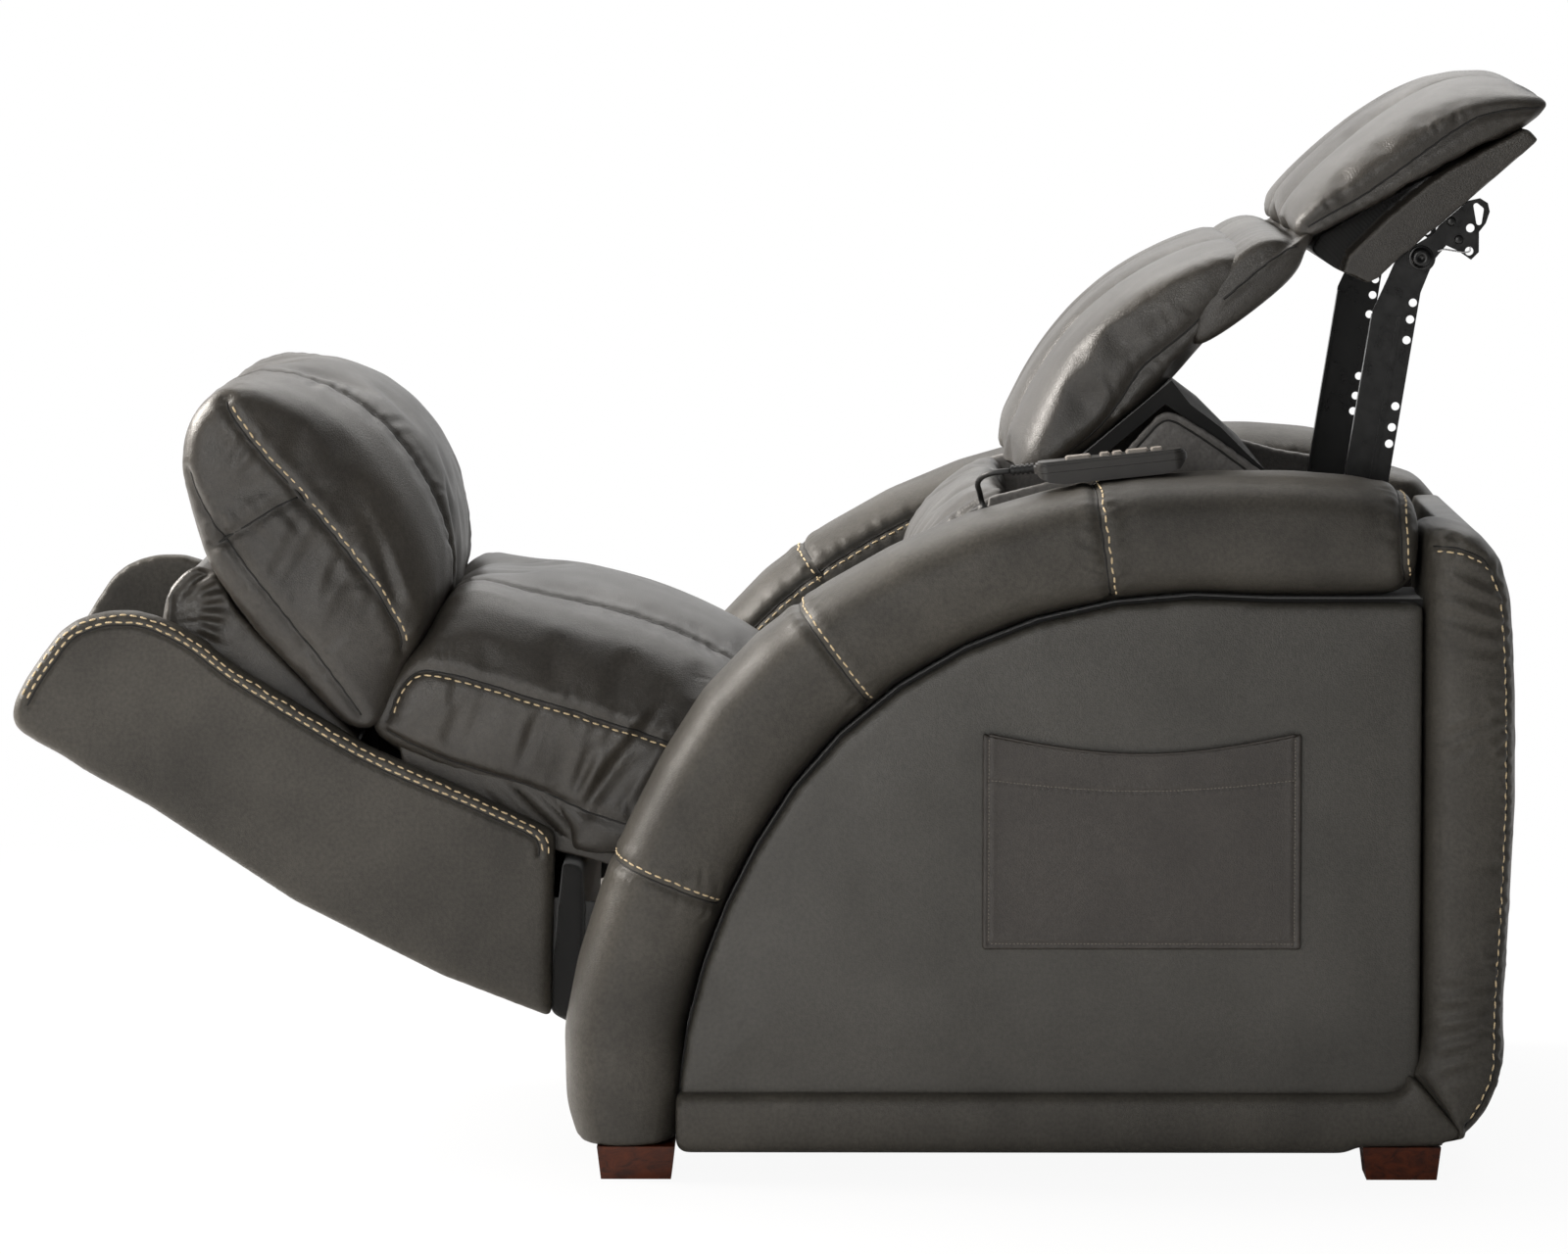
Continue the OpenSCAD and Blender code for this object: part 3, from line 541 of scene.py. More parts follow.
def inflated(obj, held, pressure=4.0, cap=24, grow=0.02, frames=20):
    """Blows the piece up as a cloth bag whose held points stay, and moves no point further than about cap mm."""
    mesh = obj.data
    start = coords(mesh)
    group = obj.vertex_groups.new(name="held")
    for share in (1.0, 0.5):
        near = np.nonzero((held >= share) & (held < share + 0.5))[0]
        group.add(near.tolist(), share, "REPLACE")
    cloth = obj.modifiers.new("cloth", "CLOTH")
    cloth.settings.quality = 4
    cloth.settings.mass = 0.4
    cloth.settings.tension_stiffness = 12
    cloth.settings.compression_stiffness = 6
    cloth.settings.shear_stiffness = 4
    cloth.settings.bending_stiffness = 12
    cloth.settings.use_pressure = True
    cloth.settings.uniform_pressure_force = pressure
    cloth.settings.shrink_min = -grow
    cloth.settings.vertex_group_mass = "held"
    cloth.settings.effector_weights.gravity = 0
    cloth.collision_settings.use_collision = False
    cloth.point_cache.frame_start = 1
    cloth.point_cache.frame_end = frames
    for f in range(1, frames + 1):
        bpy.context.scene.frame_set(f)
    result = obj.evaluated_get(bpy.context.evaluated_depsgraph_get())
    move = coords(result.data) - start
    obj.modifiers.remove(cloth)
    obj.vertex_groups.clear()
    bpy.context.scene.frame_set(1)
    far = np.linalg.norm(move, axis=1, keepdims=True) + 1e-9
    set_coords(mesh, start + move / far * np.tanh(far / (cap * MM)) * cap * MM)


def near_lines(points, lines, reach):
    """For each point, 1 within reach mm of a line, 0.5 within twice that, and 0 elsewhere."""
    out = np.zeros(len(points))
    samples = np.concatenate([even(line, 4 * MM) for line in lines])
    tree = KDTree(len(samples))
    for i, p in enumerate(samples):
        tree.insert(p, i)
    tree.balance()
    for i, p in enumerate(points):
        d = tree.find(p)[2]
        out[i] = 1 if d < reach * MM else 0.5 if d < 2 * reach * MM else 0
    return out


def soft_piece(
    name, node, body, material, voxel=6, smooth=8, shrink=0, swell=0, sim=None, lines=(), levels=1
):
    """A remeshed, softened and, with sim, inflated copy of a CAD node, which it replaces; swell in mm."""
    obj = copy_of_node(node, name, material)
    add_modifier(obj, "REMESH", mode="VOXEL", voxel_size=voxel * MM)
    add_modifier(obj, "SMOOTH", factor=0.6, iterations=smooth)
    apply_modifiers(obj)
    mesh = obj.data
    set_coords(mesh, coords(mesh) + normals(mesh) * swell * MM)
    if sim:
        set_coords(mesh, coords(mesh) - normals(mesh) * shrink * MM)
        points = coords(mesh)
        held = near_lines(points, [laid(tree_of(obj), line)[0] for line in lines], sim.get("reach", 7))
        if "rest" in sim:
            at, normal = (np.array(v, float) for v in sim["rest"])
            held[(points - at) @ normal > -4 * MM] = 1
        inflated(obj, held, sim.get("pressure", 4), sim.get("cap", 24), sim.get("grow", 0.02))
        add_modifier(obj, "SMOOTH", factor=0.5, iterations=6)
        apply_modifiers(obj)
    if levels:
        add_modifier(obj, "SUBSURF", levels=levels, render_levels=levels)
        apply_modifiers(obj)
    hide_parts(node)
    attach(obj, body)
    return obj


class Sewing:
    """Gathers the seam cords and stitches of one body, to make one piece of each."""

    def __init__(self, body):
        self.body = body
        self.cords, self.threads = [], []

    def sew(self, obj, line, depth=3, width=5, puff=1.5, pucker=0.8, pitch=19, rows=(6,), cord=1.3, seed=0):
        """A seam along the line on the piece: its groove, its cord, and rows of stitches beside it."""
        path, _ = laid(tree_of(obj), line)
        carve(obj, path, depth, width, puff, pucker, pitch, seed)
        tree = tree_of(obj)
        on, up = laid(tree, path)
        if cord:
            self.cords.append(tube(on - up * 0.4 * cord * MM, cord * MM, 6))
        for aside in rows:
            side = np.cross(up, np.gradient(on, axis=0))
            side /= np.linalg.norm(side, axis=1, keepdims=True)
            row, row_up = laid(tree, on + side * aside * MM)
            self.threads.append(stitches(row, row_up))

    def finish(self):
        for kind, parts, material in (("seams", self.cords, SEAM), ("stitching", self.threads, THREAD)):
            if parts:
                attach(joined(f"{self.body}_{kind}", parts, material), self.body)


def flip(points, side):
    return [(side * x, s, z) for x, s, z in points]


def inset(points, d):
    """The outline's points moved d mm to the right of its run, in [station, height]."""
    p = np.array(points, float)
    run = np.gradient(p, axis=0)
    run /= np.linalg.norm(run, axis=1, keepdims=True)
    return (p + d * np.stack([run[:, 1], -run[:, 0]], axis=1)).tolist()


def both_sides(x, line):
    """The line given as [station, height], at x mm to the left and to the right."""
    return [places([(side * x, s, z) for s, z in line]) for side in (1, -1)]


def spow(v, p):
    return math.copysign(abs(v) ** p, v)


def arch_ring(outer, inner, start=-150, end=150):
    """Points round the arch's section between its outer and inner points, all but under the arch."""
    c = ((outer[0] + inner[0]) / 2, (outer[1] + inner[1]) / 2)
    r = ((outer[0] - inner[0]) / 2, (outer[1] - inner[1]) / 2)
    out = []
    for t in range(start, end + 1, 5):
        u, v = spow(math.cos(math.radians(t)), 0.66), spow(math.sin(math.radians(t)), 0.66)
        out.append((ARM_MID + ARM_W / 2 * v, c[0] + r[0] * u, c[1] + r[1] * u))
    return out


def ellipse_at(ellipse, angle, inset=0.0):
    centre, a, b = ellipse
    t = math.radians(angle)
    return centre[0] + (a - inset) * math.cos(t), centre[1] + (b - inset) * math.sin(t)


# Seams as [station, height], read off the side that the camera sees

# Seams, edges and folds as (station, height)

ARM_SEAMS = [
    ((622, 328), (742, 278)), ((803, 600), (887, 488)), ((1117, 708), (1135, 585)), ((1430, 706), (1434, 610)),
]
SHOULDER = [ellipse_at(ARCH_OUTER, t, 34) for t in range(168, 94, -4)] + [(1250, 689), (1330, 689), (1400, 682)]
BAND_EDGE = [
    (1450, 652), (1480, 651), (1512, 637), (1533, 610), (1543, 576), (1547, 520), (1548, 400), (1546, 300),
    (1541, 220), (1536, 160), (1528, 110), (1512, 72), (1494, 56),
]
BAND_FOLDS = [  # each with its depth
    (1538, 604, 1474, 634, 2.6), (1541, 584, 1468, 612, 3.2), (1542, 562, 1462, 584, 2.8),
    (1543, 542, 1476, 552, 2), (1545, 486, 1464, 452, 2.6), (1545, 470, 1478, 436, 3),
    (1544, 452, 1496, 430, 2), (1546, 330, 1500, 322, 1.4), (1534, 204, 1462, 198, 2.2),
    (1532, 184, 1462, 172, 2.8), (1530, 164, 1464, 146, 3), (1526, 144, 1462, 122, 2.6),
    (1520, 122, 1466, 104, 2),
]
PAD_SIDE = [
    (214, 792), (220, 777), (235, 754), (260, 724), (290, 692), (320, 657), (350, 619), (376, 584), (396, 551),
    (411, 521),
]
PAD_CROWN = [
    (176, 700), (182, 750), (206, 790), (250, 812), (318, 802), (378, 757), (416, 704), (430, 650), (424, 600),
]
PAD_CROSS = [(195, 632), (212, 642), (240, 659), (270, 677), (292, 688)]
PAD_LOW = [(165, 712), (185, 682), (215, 644), (240, 611), (270, 574), (300, 536), (330, 496), (356, 458)]
SEAT_SIDE = [
    (379, 456), (383, 472), (388, 490), (399, 502), (417, 507), (436, 505), (468, 497), (504, 486), (541, 474),
    (577, 464), (614, 451), (664, 435), (720, 415), (800, 388), (880, 360),
]
SEAT_LOW = [
    (376, 436), (413, 414), (458, 394), (504, 381), (550, 367), (586, 358), (632, 344), (700, 330), (800, 320),
]
SEAT_CROWN = [
    (400, 478), (430, 532), (459, 587), (512, 600), (600, 596), (693, 570), (758, 540), (850, 470), (930, 400),
]
BACK_SIDE = [
    (1084, 700), (1112, 730), (1149, 788), (1171, 822), (1190, 838), (1223, 864), (1266, 905), (1306, 936),
]
BACK_CROWN = [
    (1024, 712), (1040, 765), (1079, 833), (1115, 885), (1178, 917), (1236, 948), (1290, 962), (1308, 940),
]
HEAD_SIDE = [
    (1340, 968), (1380, 990), (1410, 1008), (1474, 1055), (1506, 1077), (1530, 1088), (1570, 1096),
    (1594, 1098),
]
HEAD_CROWN = [(1326, 982), (1350, 1010), (1385, 1048), (1430, 1085), (1488, 1121), (1545, 1127), (1590, 1110)]
SLAB_TOP = [
    (1370, 905), (1379, 922), (1386, 940), (1424, 978), (1469, 1015), (1514, 1046), (1545, 1071), (1568, 1079),
    (1580, 1077),
]
WING_OUTLINE = [
    (-4, 475), (7, 496), (25, 522), (42, 544), (57, 555), (75, 562), (96, 566), (120, 566), (143, 560),
    (167, 549), (191, 534), (215, 515), (238, 499), (362, 424), (470, 376), (535, 346), (550, 336), (555, 322),
    (555, 312),
]
BACK_WING_EDGE = [
    (1120, 700), (1153, 725), (1188, 764), (1197, 769), (1207, 766), (1242, 744), (1272, 722), (1292, 706),
]


TOE_TOP, TOE_FROM, TOE_GROWTH = 150, 640, 7  # the arch's foot swells towards the panel below this height


def add_arm(side, word, random):
    """One arm's leather: arch, side panel, bottom roll and rear band, sewn and creased."""
    roll = soft_piece(f"{word}_arm_padding", f"{word}_arm_roll", "base", ARCH, voxel=6, smooth=12)
    folds = []
    for k, (outer, inner) in enumerate(ARM_SEAMS):
        ring = places(flip(arch_ring(outer, inner), side))
        folds += fan(*laid(tree_of(roll), ring), random, 16, length=(14, 44), depth=(0.4, 1.2))
        base_sewing.sew(roll, ring, rows=(7,), pucker=0.35, puff=0.9, seed=k + side)
    shoulder = places([(side * (ARM_MID - 92), s, z) for s, z in SHOULDER])
    base_sewing.sew(roll, shoulder, rows=(6 * side,), pucker=0.5, puff=0.8, pitch=24, seed=5)
    crease(roll, folds)
    co = coords(roll.data)
    low = np.clip((TOE_TOP - co[:, 2] / MM) / 60, 0, 1)
    inner = np.clip((co[:, 1] / MM + DATUM - TOE_FROM) / 40, 0, 1)
    co[:, 1] += TOE_GROWTH * low * inner * MM
    set_coords(roll.data, co)
    panel = soft_piece(
        f"{word}_side_leather", f"{word}_side_panel", "base", PANEL, voxel=5, smooth=10
    )
    puffed(panel, side, 5)
    low = soft_piece(
        f"{word}_bottom_padding", f"{word}_bottom_roll", "base", ARCH, 4, 5, swell=1.5
    )
    band = soft_piece(f"{word}_rear_padding", f"{word}_rear_band", "base", ARCH, 5, 8, swell=3)
    mitre(low, band)
    seam = places([
        (side * (HALF_W - 1), *MITRE_TOP), (side * (HALF_W - 2), 1464, 80), (side * (HALF_W - 9), *MITRE_LOW)
    ])
    base_sewing.sew(band, seam, depth=1.2, width=4, puff=0.5, rows=(), pucker=0.3, cord=0.8, seed=2)
    edge = curved(places([(side * (HALF_W - 5), s, z) for s, z in BAND_EDGE]))
    folds = fan(*laid(tree_of(band), edge), random, 30, length=(25, 70), depth=(0.8, 2.6), width=(3, 6))
    face = HALF_W - 2
    folds += [(place(side * face, *f[:2]), place(side * face, *f[2:4]), f[4], 6) for f in BAND_FOLDS]
    base_sewing.sew(band, edge, depth=2, width=3, puff=0.6, rows=(-5 * side,), seed=3)
    crease(band, folds)


def puffed(obj, side, rise, reach=55):
    """Swells the piece's outer face by rise mm, growing over reach mm from its edges."""
    mesh = obj.data
    co, no = coords(mesh), normals(mesh)
    face = no[:, 0] * side > 0.8
    rim = co[(np.abs(no[:, 0]) < 0.6)]
    tree = KDTree(len(rim))
    for i, p in enumerate(rim):
        tree.insert((0, p[1], p[2]), i)
    tree.balance()
    for i in np.nonzero(face)[0]:
        d = tree.find((0, co[i, 1], co[i, 2]))[2] / MM
        co[i, 0] += side * rise * (1 - math.exp(-((d / reach) ** 2))) * MM
    set_coords(mesh, co)


# The side panel's lower rear corner, where the bottom roll and the rear band meet in a mitre
MITRE_TOP, MITRE_LOW = (1439, 109), (1488, 52)
BAND_FRONT, ROLL_TOP = 1453, 83


REAR_CONTOUR = [  # the furthest station at each height
    (40, 1474), (45, 1496), (54, 1508), (68, 1519), (85, 1526), (105, 1532), (130, 1537), (159, 1541), (241, 1546),
]


def rounded_corner(co):
    """Swells the lower rear corner and keeps it inside its round outline."""
    s, z = co[:, 1] / MM + DATUM, co[:, 2] / MM
    s = s + 9 * np.exp(-(((z - 110) / 40) ** 2)) * np.clip((s - 1485) / 30, 0, 1)
    limit = np.interp(z, [p[0] for p in REAR_CONTOUR], [p[1] for p in REAR_CONTOUR])
    co[:, 1] = (np.where(z < REAR_CONTOUR[-1][0], np.minimum(s, limit), s) - DATUM) * MM
    return co


def mitre(low, band):
    """Leads the band's front edge and the roll's rear end along the mitre, and swells the roll's upper edge."""
    slope = (MITRE_LOW[0] - MITRE_TOP[0]) / (MITRE_TOP[1] - MITRE_LOW[1])
    co = coords(band.data)
    s, z = co[:, 1] / MM + DATUM, co[:, 2] / MM
    front = np.clip((BAND_FRONT + 45 - s) / 45, 0, 1)
    above = (MITRE_TOP[0] - BAND_FRONT) * np.clip((160 - z) / (160 - MITRE_TOP[1]), 0, 1) ** 2
    below = np.clip(MITRE_TOP[1] - z, 0, MITRE_TOP[1] - MITRE_LOW[1]) * slope
    outside = np.clip((np.abs(co[:, 0]) / MM - HALF_W + 43) / 8, 0, 1)
    co[:, 1] += (above + below) * outside * front * MM
    co = rounded_corner(co)
    set_coords(band.data, co)
    co = coords(low.data)
    s, z = co[:, 1] / MM + DATUM, co[:, 2] / MM
    z = z + 6 * np.clip((z - 45) / (ROLL_TOP - 45), 0, 1)
    end = np.clip((s - 1400) / 50, 0, 1)
    along = MITRE_TOP[0] + (MITRE_TOP[1] - np.clip(z, MITRE_LOW[1], None)) * slope
    co[:, 1] += (along - BAND_FRONT + 3) * end * MM
    co[:, 2] = z * MM
    set_coords(low.data, rounded_corner(co))


def add_pocket_stitching(pocket):
    """The pocket's hem, its border stitches and its rounded lip."""
    x = HALF_W - 2
    left, right, under = 1009, 1321, 245
    arc = [(s, math.sin(math.pi * (s - left) / (right - left))) for s in np.linspace(left, right, 25)]
    rows = [
        [(x, s, 413 - 11 * dip) for s, dip in arc],
        [(x, left, 458), (x, left, under)],
        [(x, left, under), (x, right, under)],
        [(x, right, under), (x, right, 458)],
    ]
    threads = []
    for row in rows:
        path, _ = laid(tree_of(pocket), places(row), 1.5 * MM)
        carve(pocket, path, depth=0.8, width=1.8, puff=0.3, pucker=0.15, pitch=7)
        threads.append(stitches(*laid(tree_of(pocket), path, 1 * MM), 2.5, 1.3, 0.5))
    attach(joined("pocket_stitching", threads, FINE_THREAD), "base")
    lip = [(x - 0.5, s, 459.5 - 20 * dip) for s, dip in arc]
    piece = joined("pocket_lip", [tube(even(places(lip), 3 * MM), 1.5 * MM, 10)], POCKET)
    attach(piece, "base")


def hollow_out(shell, depth=42):
    """Presses in the headrest's sides between its cushion and the padded slab below, and darkens them there with
    the black lining as painted shade.
    """
    mesh = shell.data
    co = coords(mesh)
    s, z = co[:, 1] / MM + DATUM, co[:, 2] / MM
    over = z - np.interp(s, [p[0] for p in SLAB_TOP], [p[1] for p in SLAB_TOP])
    side = np.clip((np.abs(co[:, 0]) / MM - CUSHION_X + depth + 6) / 6, 0, 1)
    deep = np.clip((over + 1) / 7, 0, 1)
    co[:, 0] -= np.sign(co[:, 0]) * side * deep * depth * MM
    set_coords(mesh, co)
    # painted shade: the shell's faces in the hollow above the slab take the black lining, standing in for the shade
    # there
    mesh.materials.append(LINING_AND_PAINTED_SHADE)
    dark = (over > 3) & (np.abs(co[:, 0]) / MM > CUSHION_X - depth - 20)
    for face in mesh.polygons:
        if all(dark[i] for i in face.vertices):
            face.material_index = 1


def lathe(profile, at, side, steps=40):
    """The (points, faces) of a turned piece on an axis along X; profile is [distance out, radius] in mm."""
    points = []
    centre = place(*at)
    for out, radius in profile:
        for k in range(steps):
            a = 2 * math.pi * k / steps
            turn = Vector((side * out, radius * math.cos(a), radius * math.sin(a))) * MM
            points.append(tuple(centre + turn))
    return points, closed_rings(len(profile), steps)


HEAD_PIVOT = (1461, 937)
HEAD_PLATE_OUT = 285
BOLT = [(0, 13), (1.2, 13), (1.6, 12), (1.6, 9), (2.2, 9.4), (4.6, 9), (5.6, 7), (5.6, 3.4), (3.6, 3)]


RIVET, RIVETS_AT = [(0, 5), (1.5, 4.6), (2.4, 3), (2.6, 1)], ((1492, 975), (1500, 956))
SPRING_WIRE = [(1478, 944), (1484, 946), (1495, 944.5), (1506, 943), (1511, 944), (1512, 949)]


def add_hardware():
    """The headrest's pivot bolts, rivets and spring wires."""
    sides = (1, -1)
    bolts = [lathe(BOLT, (side * HEAD_PLATE_OUT, *HEAD_PIVOT), side) for side in sides]
    rivets = [lathe(RIVET, (side * HEAD_PLATE_OUT, *at), side, 20) for side in sides for at in RIVETS_AT]
    wires = [
        tube(curved(places([(side * (HEAD_PLATE_OUT + 2), *at) for at in SPRING_WIRE])), 0.9 * MM) for side in sides
    ]
    for name, parts, material, slot in (
        ("head_pivot_bolts", bolts, BLACK_STEEL, "black_steel"),
        ("head_plate_rivets", rivets, BLACK_STEEL, "black_steel"),
        ("head_spring_wires", wires, BRIGHT_STEEL, "slider_steel"),
    ):
        piece = joined(name, parts, material)
        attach(piece, "headrest")


# The neck's section as (station, height), at its ends and in its middle
NECK_EDGE = [
    (1236, 905), (1262, 938), (1285, 952), (1306, 958), (1322, 957), (1331, 954), (1340, 962), (1352, 966),
    (1349, 952), (1341, 944), (1339, 930), (1326, 912), (1300, 889), (1266, 862), (1240, 845), (1222, 838),
    (1218, 860),
]
NECK_MIDDLE = [
    (1236, 915), (1262, 948), (1285, 964), (1306, 968), (1322, 962), (1331, 955), (1340, 968), (1354, 972),
    (1350, 954), (1342, 944), (1338, 930), (1325, 912), (1300, 892), (1266, 868), (1240, 852), (1224, 846),
    (1220, 868),
]
NECK_HALF_W = 290


def add_neck():
    """The fold of leather that joins the lower back's upper end to the headrest."""
    steps = np.linspace(-1, 1, 121)
    edge, middle = (np.array([tuple(place(0, s, z)) for s, z in loop]) for loop in (NECK_EDGE, NECK_MIDDLE))
    points = []
    for f in steps:
        crown = (1 - abs(f) ** 2.6) ** 0.55
        loop = edge + (middle - edge) * crown
        centre = loop.mean(0)
        pinch = 1 - 0.16 * max(0, (abs(f) - 0.9) / 0.1) ** 2 - 0.3 * max(0, (abs(f) - 0.985) / 0.015) ** 2
        pinch -= 0.03 * math.exp(-(((abs(f) - 0.33) / 0.02) ** 2))
        pinch -= 0.006 * math.sin(f * 57) + 0.004 * math.sin(f * 131)
        for p in centre + (loop - centre) * pinch:
            points.append((f * NECK_HALF_W * MM, p[1], p[2]))
    piece = mesh_object("neck_fold", points, closed_rings(len(steps), len(edge)), CUSHION)
    add_modifier(piece, "SUBSURF", levels=2, render_levels=2)
    apply_modifiers(piece)
    crease(piece, both_folds(268, [(1248, 918, 1296, 948, 4, 7), (1262, 905, 1310, 944, 3, 6)]))
    for line in both_sides(NECK_HALF_W, [(1256, 894), (1290, 924), (1312, 940), (1330, 950)]):
        back_sewing.sew(piece, line, depth=2.5, width=3, puff=0.8, rows=(), pucker=0.3, pitch=11)
    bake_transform(piece)


FLAP_GROWTH = 1.09
BOARD_POINT, BOARD_RUN = (222, 566), (130, -138)  # under the leg pad
SKIRT_REACH = 17  # how far the skirt comes out over the board's edge
GATHER, PLEAT_ENDS = (153, 578), ((200, 612), (214, 594), (216, 572), (214, 548), (206, 528), (190, 510))
SKIRT_SIDE, FRONT_PLEATS = 262, np.linspace(-250, 250, 15)
FAR_WING_RISE = 13


def add_leg_skirt():
    """The gathered leather between the leg pad's board and the tray."""
    skirt = soft_piece(
        "leg_skirt", "pad_gusset", "footrest", CUSHION, voxel=4, smooth=6
    )
    run = np.array([0, *BOARD_RUN]) / math.hypot(*BOARD_RUN)
    out = np.array([0, run[2], -run[1]])
    co = coords(skirt.data)
    under = (co - np.array(place(0, *BOARD_POINT))) @ out / MM - 16.3
    set_coords(skirt.data, co - out * SKIRT_REACH * MM * np.clip(1 - under / 14, 0, 1)[:, None])
    pleats = []
    for x in (SKIRT_SIDE, -SKIRT_SIDE):
        for k, end in enumerate(PLEAT_ENDS):
            pleats.append((place(x, GATHER[0], GATHER[1] - 5 * k), place(x, *end), 9 - 0.9 * k, 6))
    for x in FRONT_PLEATS:
        lean = 9 * math.sin(x * 0.31)
        pleats.append((place(x, 150, 592), place(x + lean, 140, 520), 5, 6))
    crease(skirt, pleats)


def add_tray_wing(side, word):
    wing = soft_piece(
        f"{word}_tray_padding", f"{word}_tray_wing", "footrest", ARCH, voxel=4, smooth=8, swell=2
    )
    if side < 0:
        co = coords(wing.data)
        co[:, 2] += FAR_WING_RISE * MM * np.clip((co[:, 2] / MM - 480) / 86, 0, 1)
        set_coords(wing.data, co)
    edge = curved(places([(side * 299, s, z) for s, z in inset(WING_OUTLINE, 13)]), 4)
    foot_sewing.sew(wing, edge, depth=2, width=3, rows=(4 * side, 10.5 * side), pucker=0.3, puff=0.6)


def add_back_wing(side, word):
    wing = soft_piece(
        f"{word}_back_padding", f"{word}_back_wing", "back", WING, voxel=3, smooth=6
    )
    edge = places([(side * 292, s, z) for s, z in BACK_WING_EDGE])
    back_sewing.sew(wing, edge, depth=1.5, width=3, rows=(), pucker=0.3, puff=0.6, cord=1.6)


APRON_X, APRON_THICK = 268, 7
APRON_FROM, APRON_TO = 392, 660


def add_aprons():
    """The leather under the seat's sides, gathered towards the arch."""
    along, down = np.linspace(APRON_FROM, APRON_TO, 90), np.linspace(0, 1, 26)
    for side, word in ((1, "left"), (-1, "right")):
        points, faces = [], []
        for s in along:
            top = np.interp(s, [p[0] for p in SEAT_LOW], [p[1] for p in SEAT_LOW]) + 12
            gather = np.clip((s - 470) / 90, 0, 1)
            for t in down:
                wave = math.sin((s - 60 * t) / 7.5) + 0.6 * math.sin((s - 70 * t) / 4.1 + 1)
                x = APRON_X + 3.2 * wave * gather * math.sin(math.pi * min(1, t * 1.3)) - 5 * t
                points.append(place(side * x, s + 14 * t, top - 66 * t))
        n = len(down)
        for j in range(len(along) - 1):
            for i in range(n - 1):
                a = j * n + i
                face = (a, a + 1, a + 1 + n, a + n)
                faces.append(face if side < 0 else face[::-1])
        piece = mesh_object(f"{word}_seat_apron", points, faces, CUSHION)
        add_modifier(piece, "SOLIDIFY", thickness=APRON_THICK * MM, offset=-1)
        apply_modifiers(piece)
        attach(piece, "seat")


base_sewing = Sewing("base")
seat_sewing = Sewing("seat")
foot_sewing = Sewing("footrest")
back_sewing = Sewing("back")
head_sewing = Sewing("headrest")
random = np.random.default_rng(11)

add_camera()
dress_nodes()
add_cord()

for side, word in ((1, "left"), (-1, "right")):
    add_arm(side, word, random)

soft_piece(
    "rear_panel_leather", "rear_panel", "base", PANEL, voxel=6, smooth=8
)
pocket = soft_piece(
    "side_pocket", "pocket", "base", POCKET, voxel=2, smooth=3, levels=0
)
add_pocket_stitching(pocket)


def cushion_piece(
    name, node, body, sewing, sim_lines, rest, seams, cap=16, voxel=7, shrink=4, grow=0.015, folds=(), pucker=0.3,
    shape=None,
):
    """A cushion blown up between its held lines, then sewn; seams are (line, rows, stitched side)."""
    lines = [line for x, points in sim_lines for line in both_sides(x, points)]
    sim = {"cap": cap, "grow": grow, "rest": rest}
    obj = soft_piece(
        name, node, body, CUSHION, voxel=voxel, smooth=4, shrink=shrink, sim=sim, lines=lines
    )
    if shape:
        set_coords(obj.data, shape(coords(obj.data)))
    tree = tree_of(obj)
    lines = [(k, row, side, count, curved(line)) for k, (x, points, row, count) in enumerate(seams)
             for side, line in zip((1, -1), both_sides(x, points))]
    found = list(folds)
    for _, _, _, count, line in lines:
        found += fan(*laid(tree, line), random, count, length=(16, 46), depth=(0.4, 1.5), width=(3, 6))
    crease(obj, found)
    for k, row, side, _, line in lines:
        sewing.sew(obj, line, rows=(row * side,) if row else (), pucker=pucker, puff=1.1, seed=k)
    return obj


def fuller_front(co):
    """Fills out the seat's upper front edge and leads its front against the leg pad."""
    s, z = co[:, 1] / MM + DATUM, co[:, 2] / MM
    near = np.exp(-(((s - 468) / 52) ** 2) - ((z - 568) / 42) ** 2)
    near *= np.clip((288 - np.abs(co[:, 0]) / MM) / 70, 0, 1)
    co[:, 1] -= (10 * near + 15 * np.clip((470 - s) / 80, 0, 1)) * MM
    co[:, 2] += 21 * near * MM
    return co


def longer_tip(co):
    """Leads the leg pad's lower tip down to the tray wing's edge."""
    s, z = co[:, 1] / MM + DATUM, co[:, 2] / MM
    near = np.exp(-(((s - 368) / 42) ** 2) - ((z - 455) / 46) ** 2)
    co[:, 1] += 9 * near * MM
    co[:, 2] -= 13 * near * MM
    return co


def both_folds(x, folds):
    """Folds for both sides of a cushion, given as (station, height, station, height, depth, width)."""
    return [(place(side * x, *f[:2]), place(side * x, *f[2:4]), f[4], f[5]) for side in (1, -1) for f in folds]


def plane(point, direction):
    """The plane under a cushion, as a point and an outward normal, from the board's station and height."""
    length = math.hypot(*direction)
    return place(0, *point), (0, direction[1] / length, -direction[0] / length)


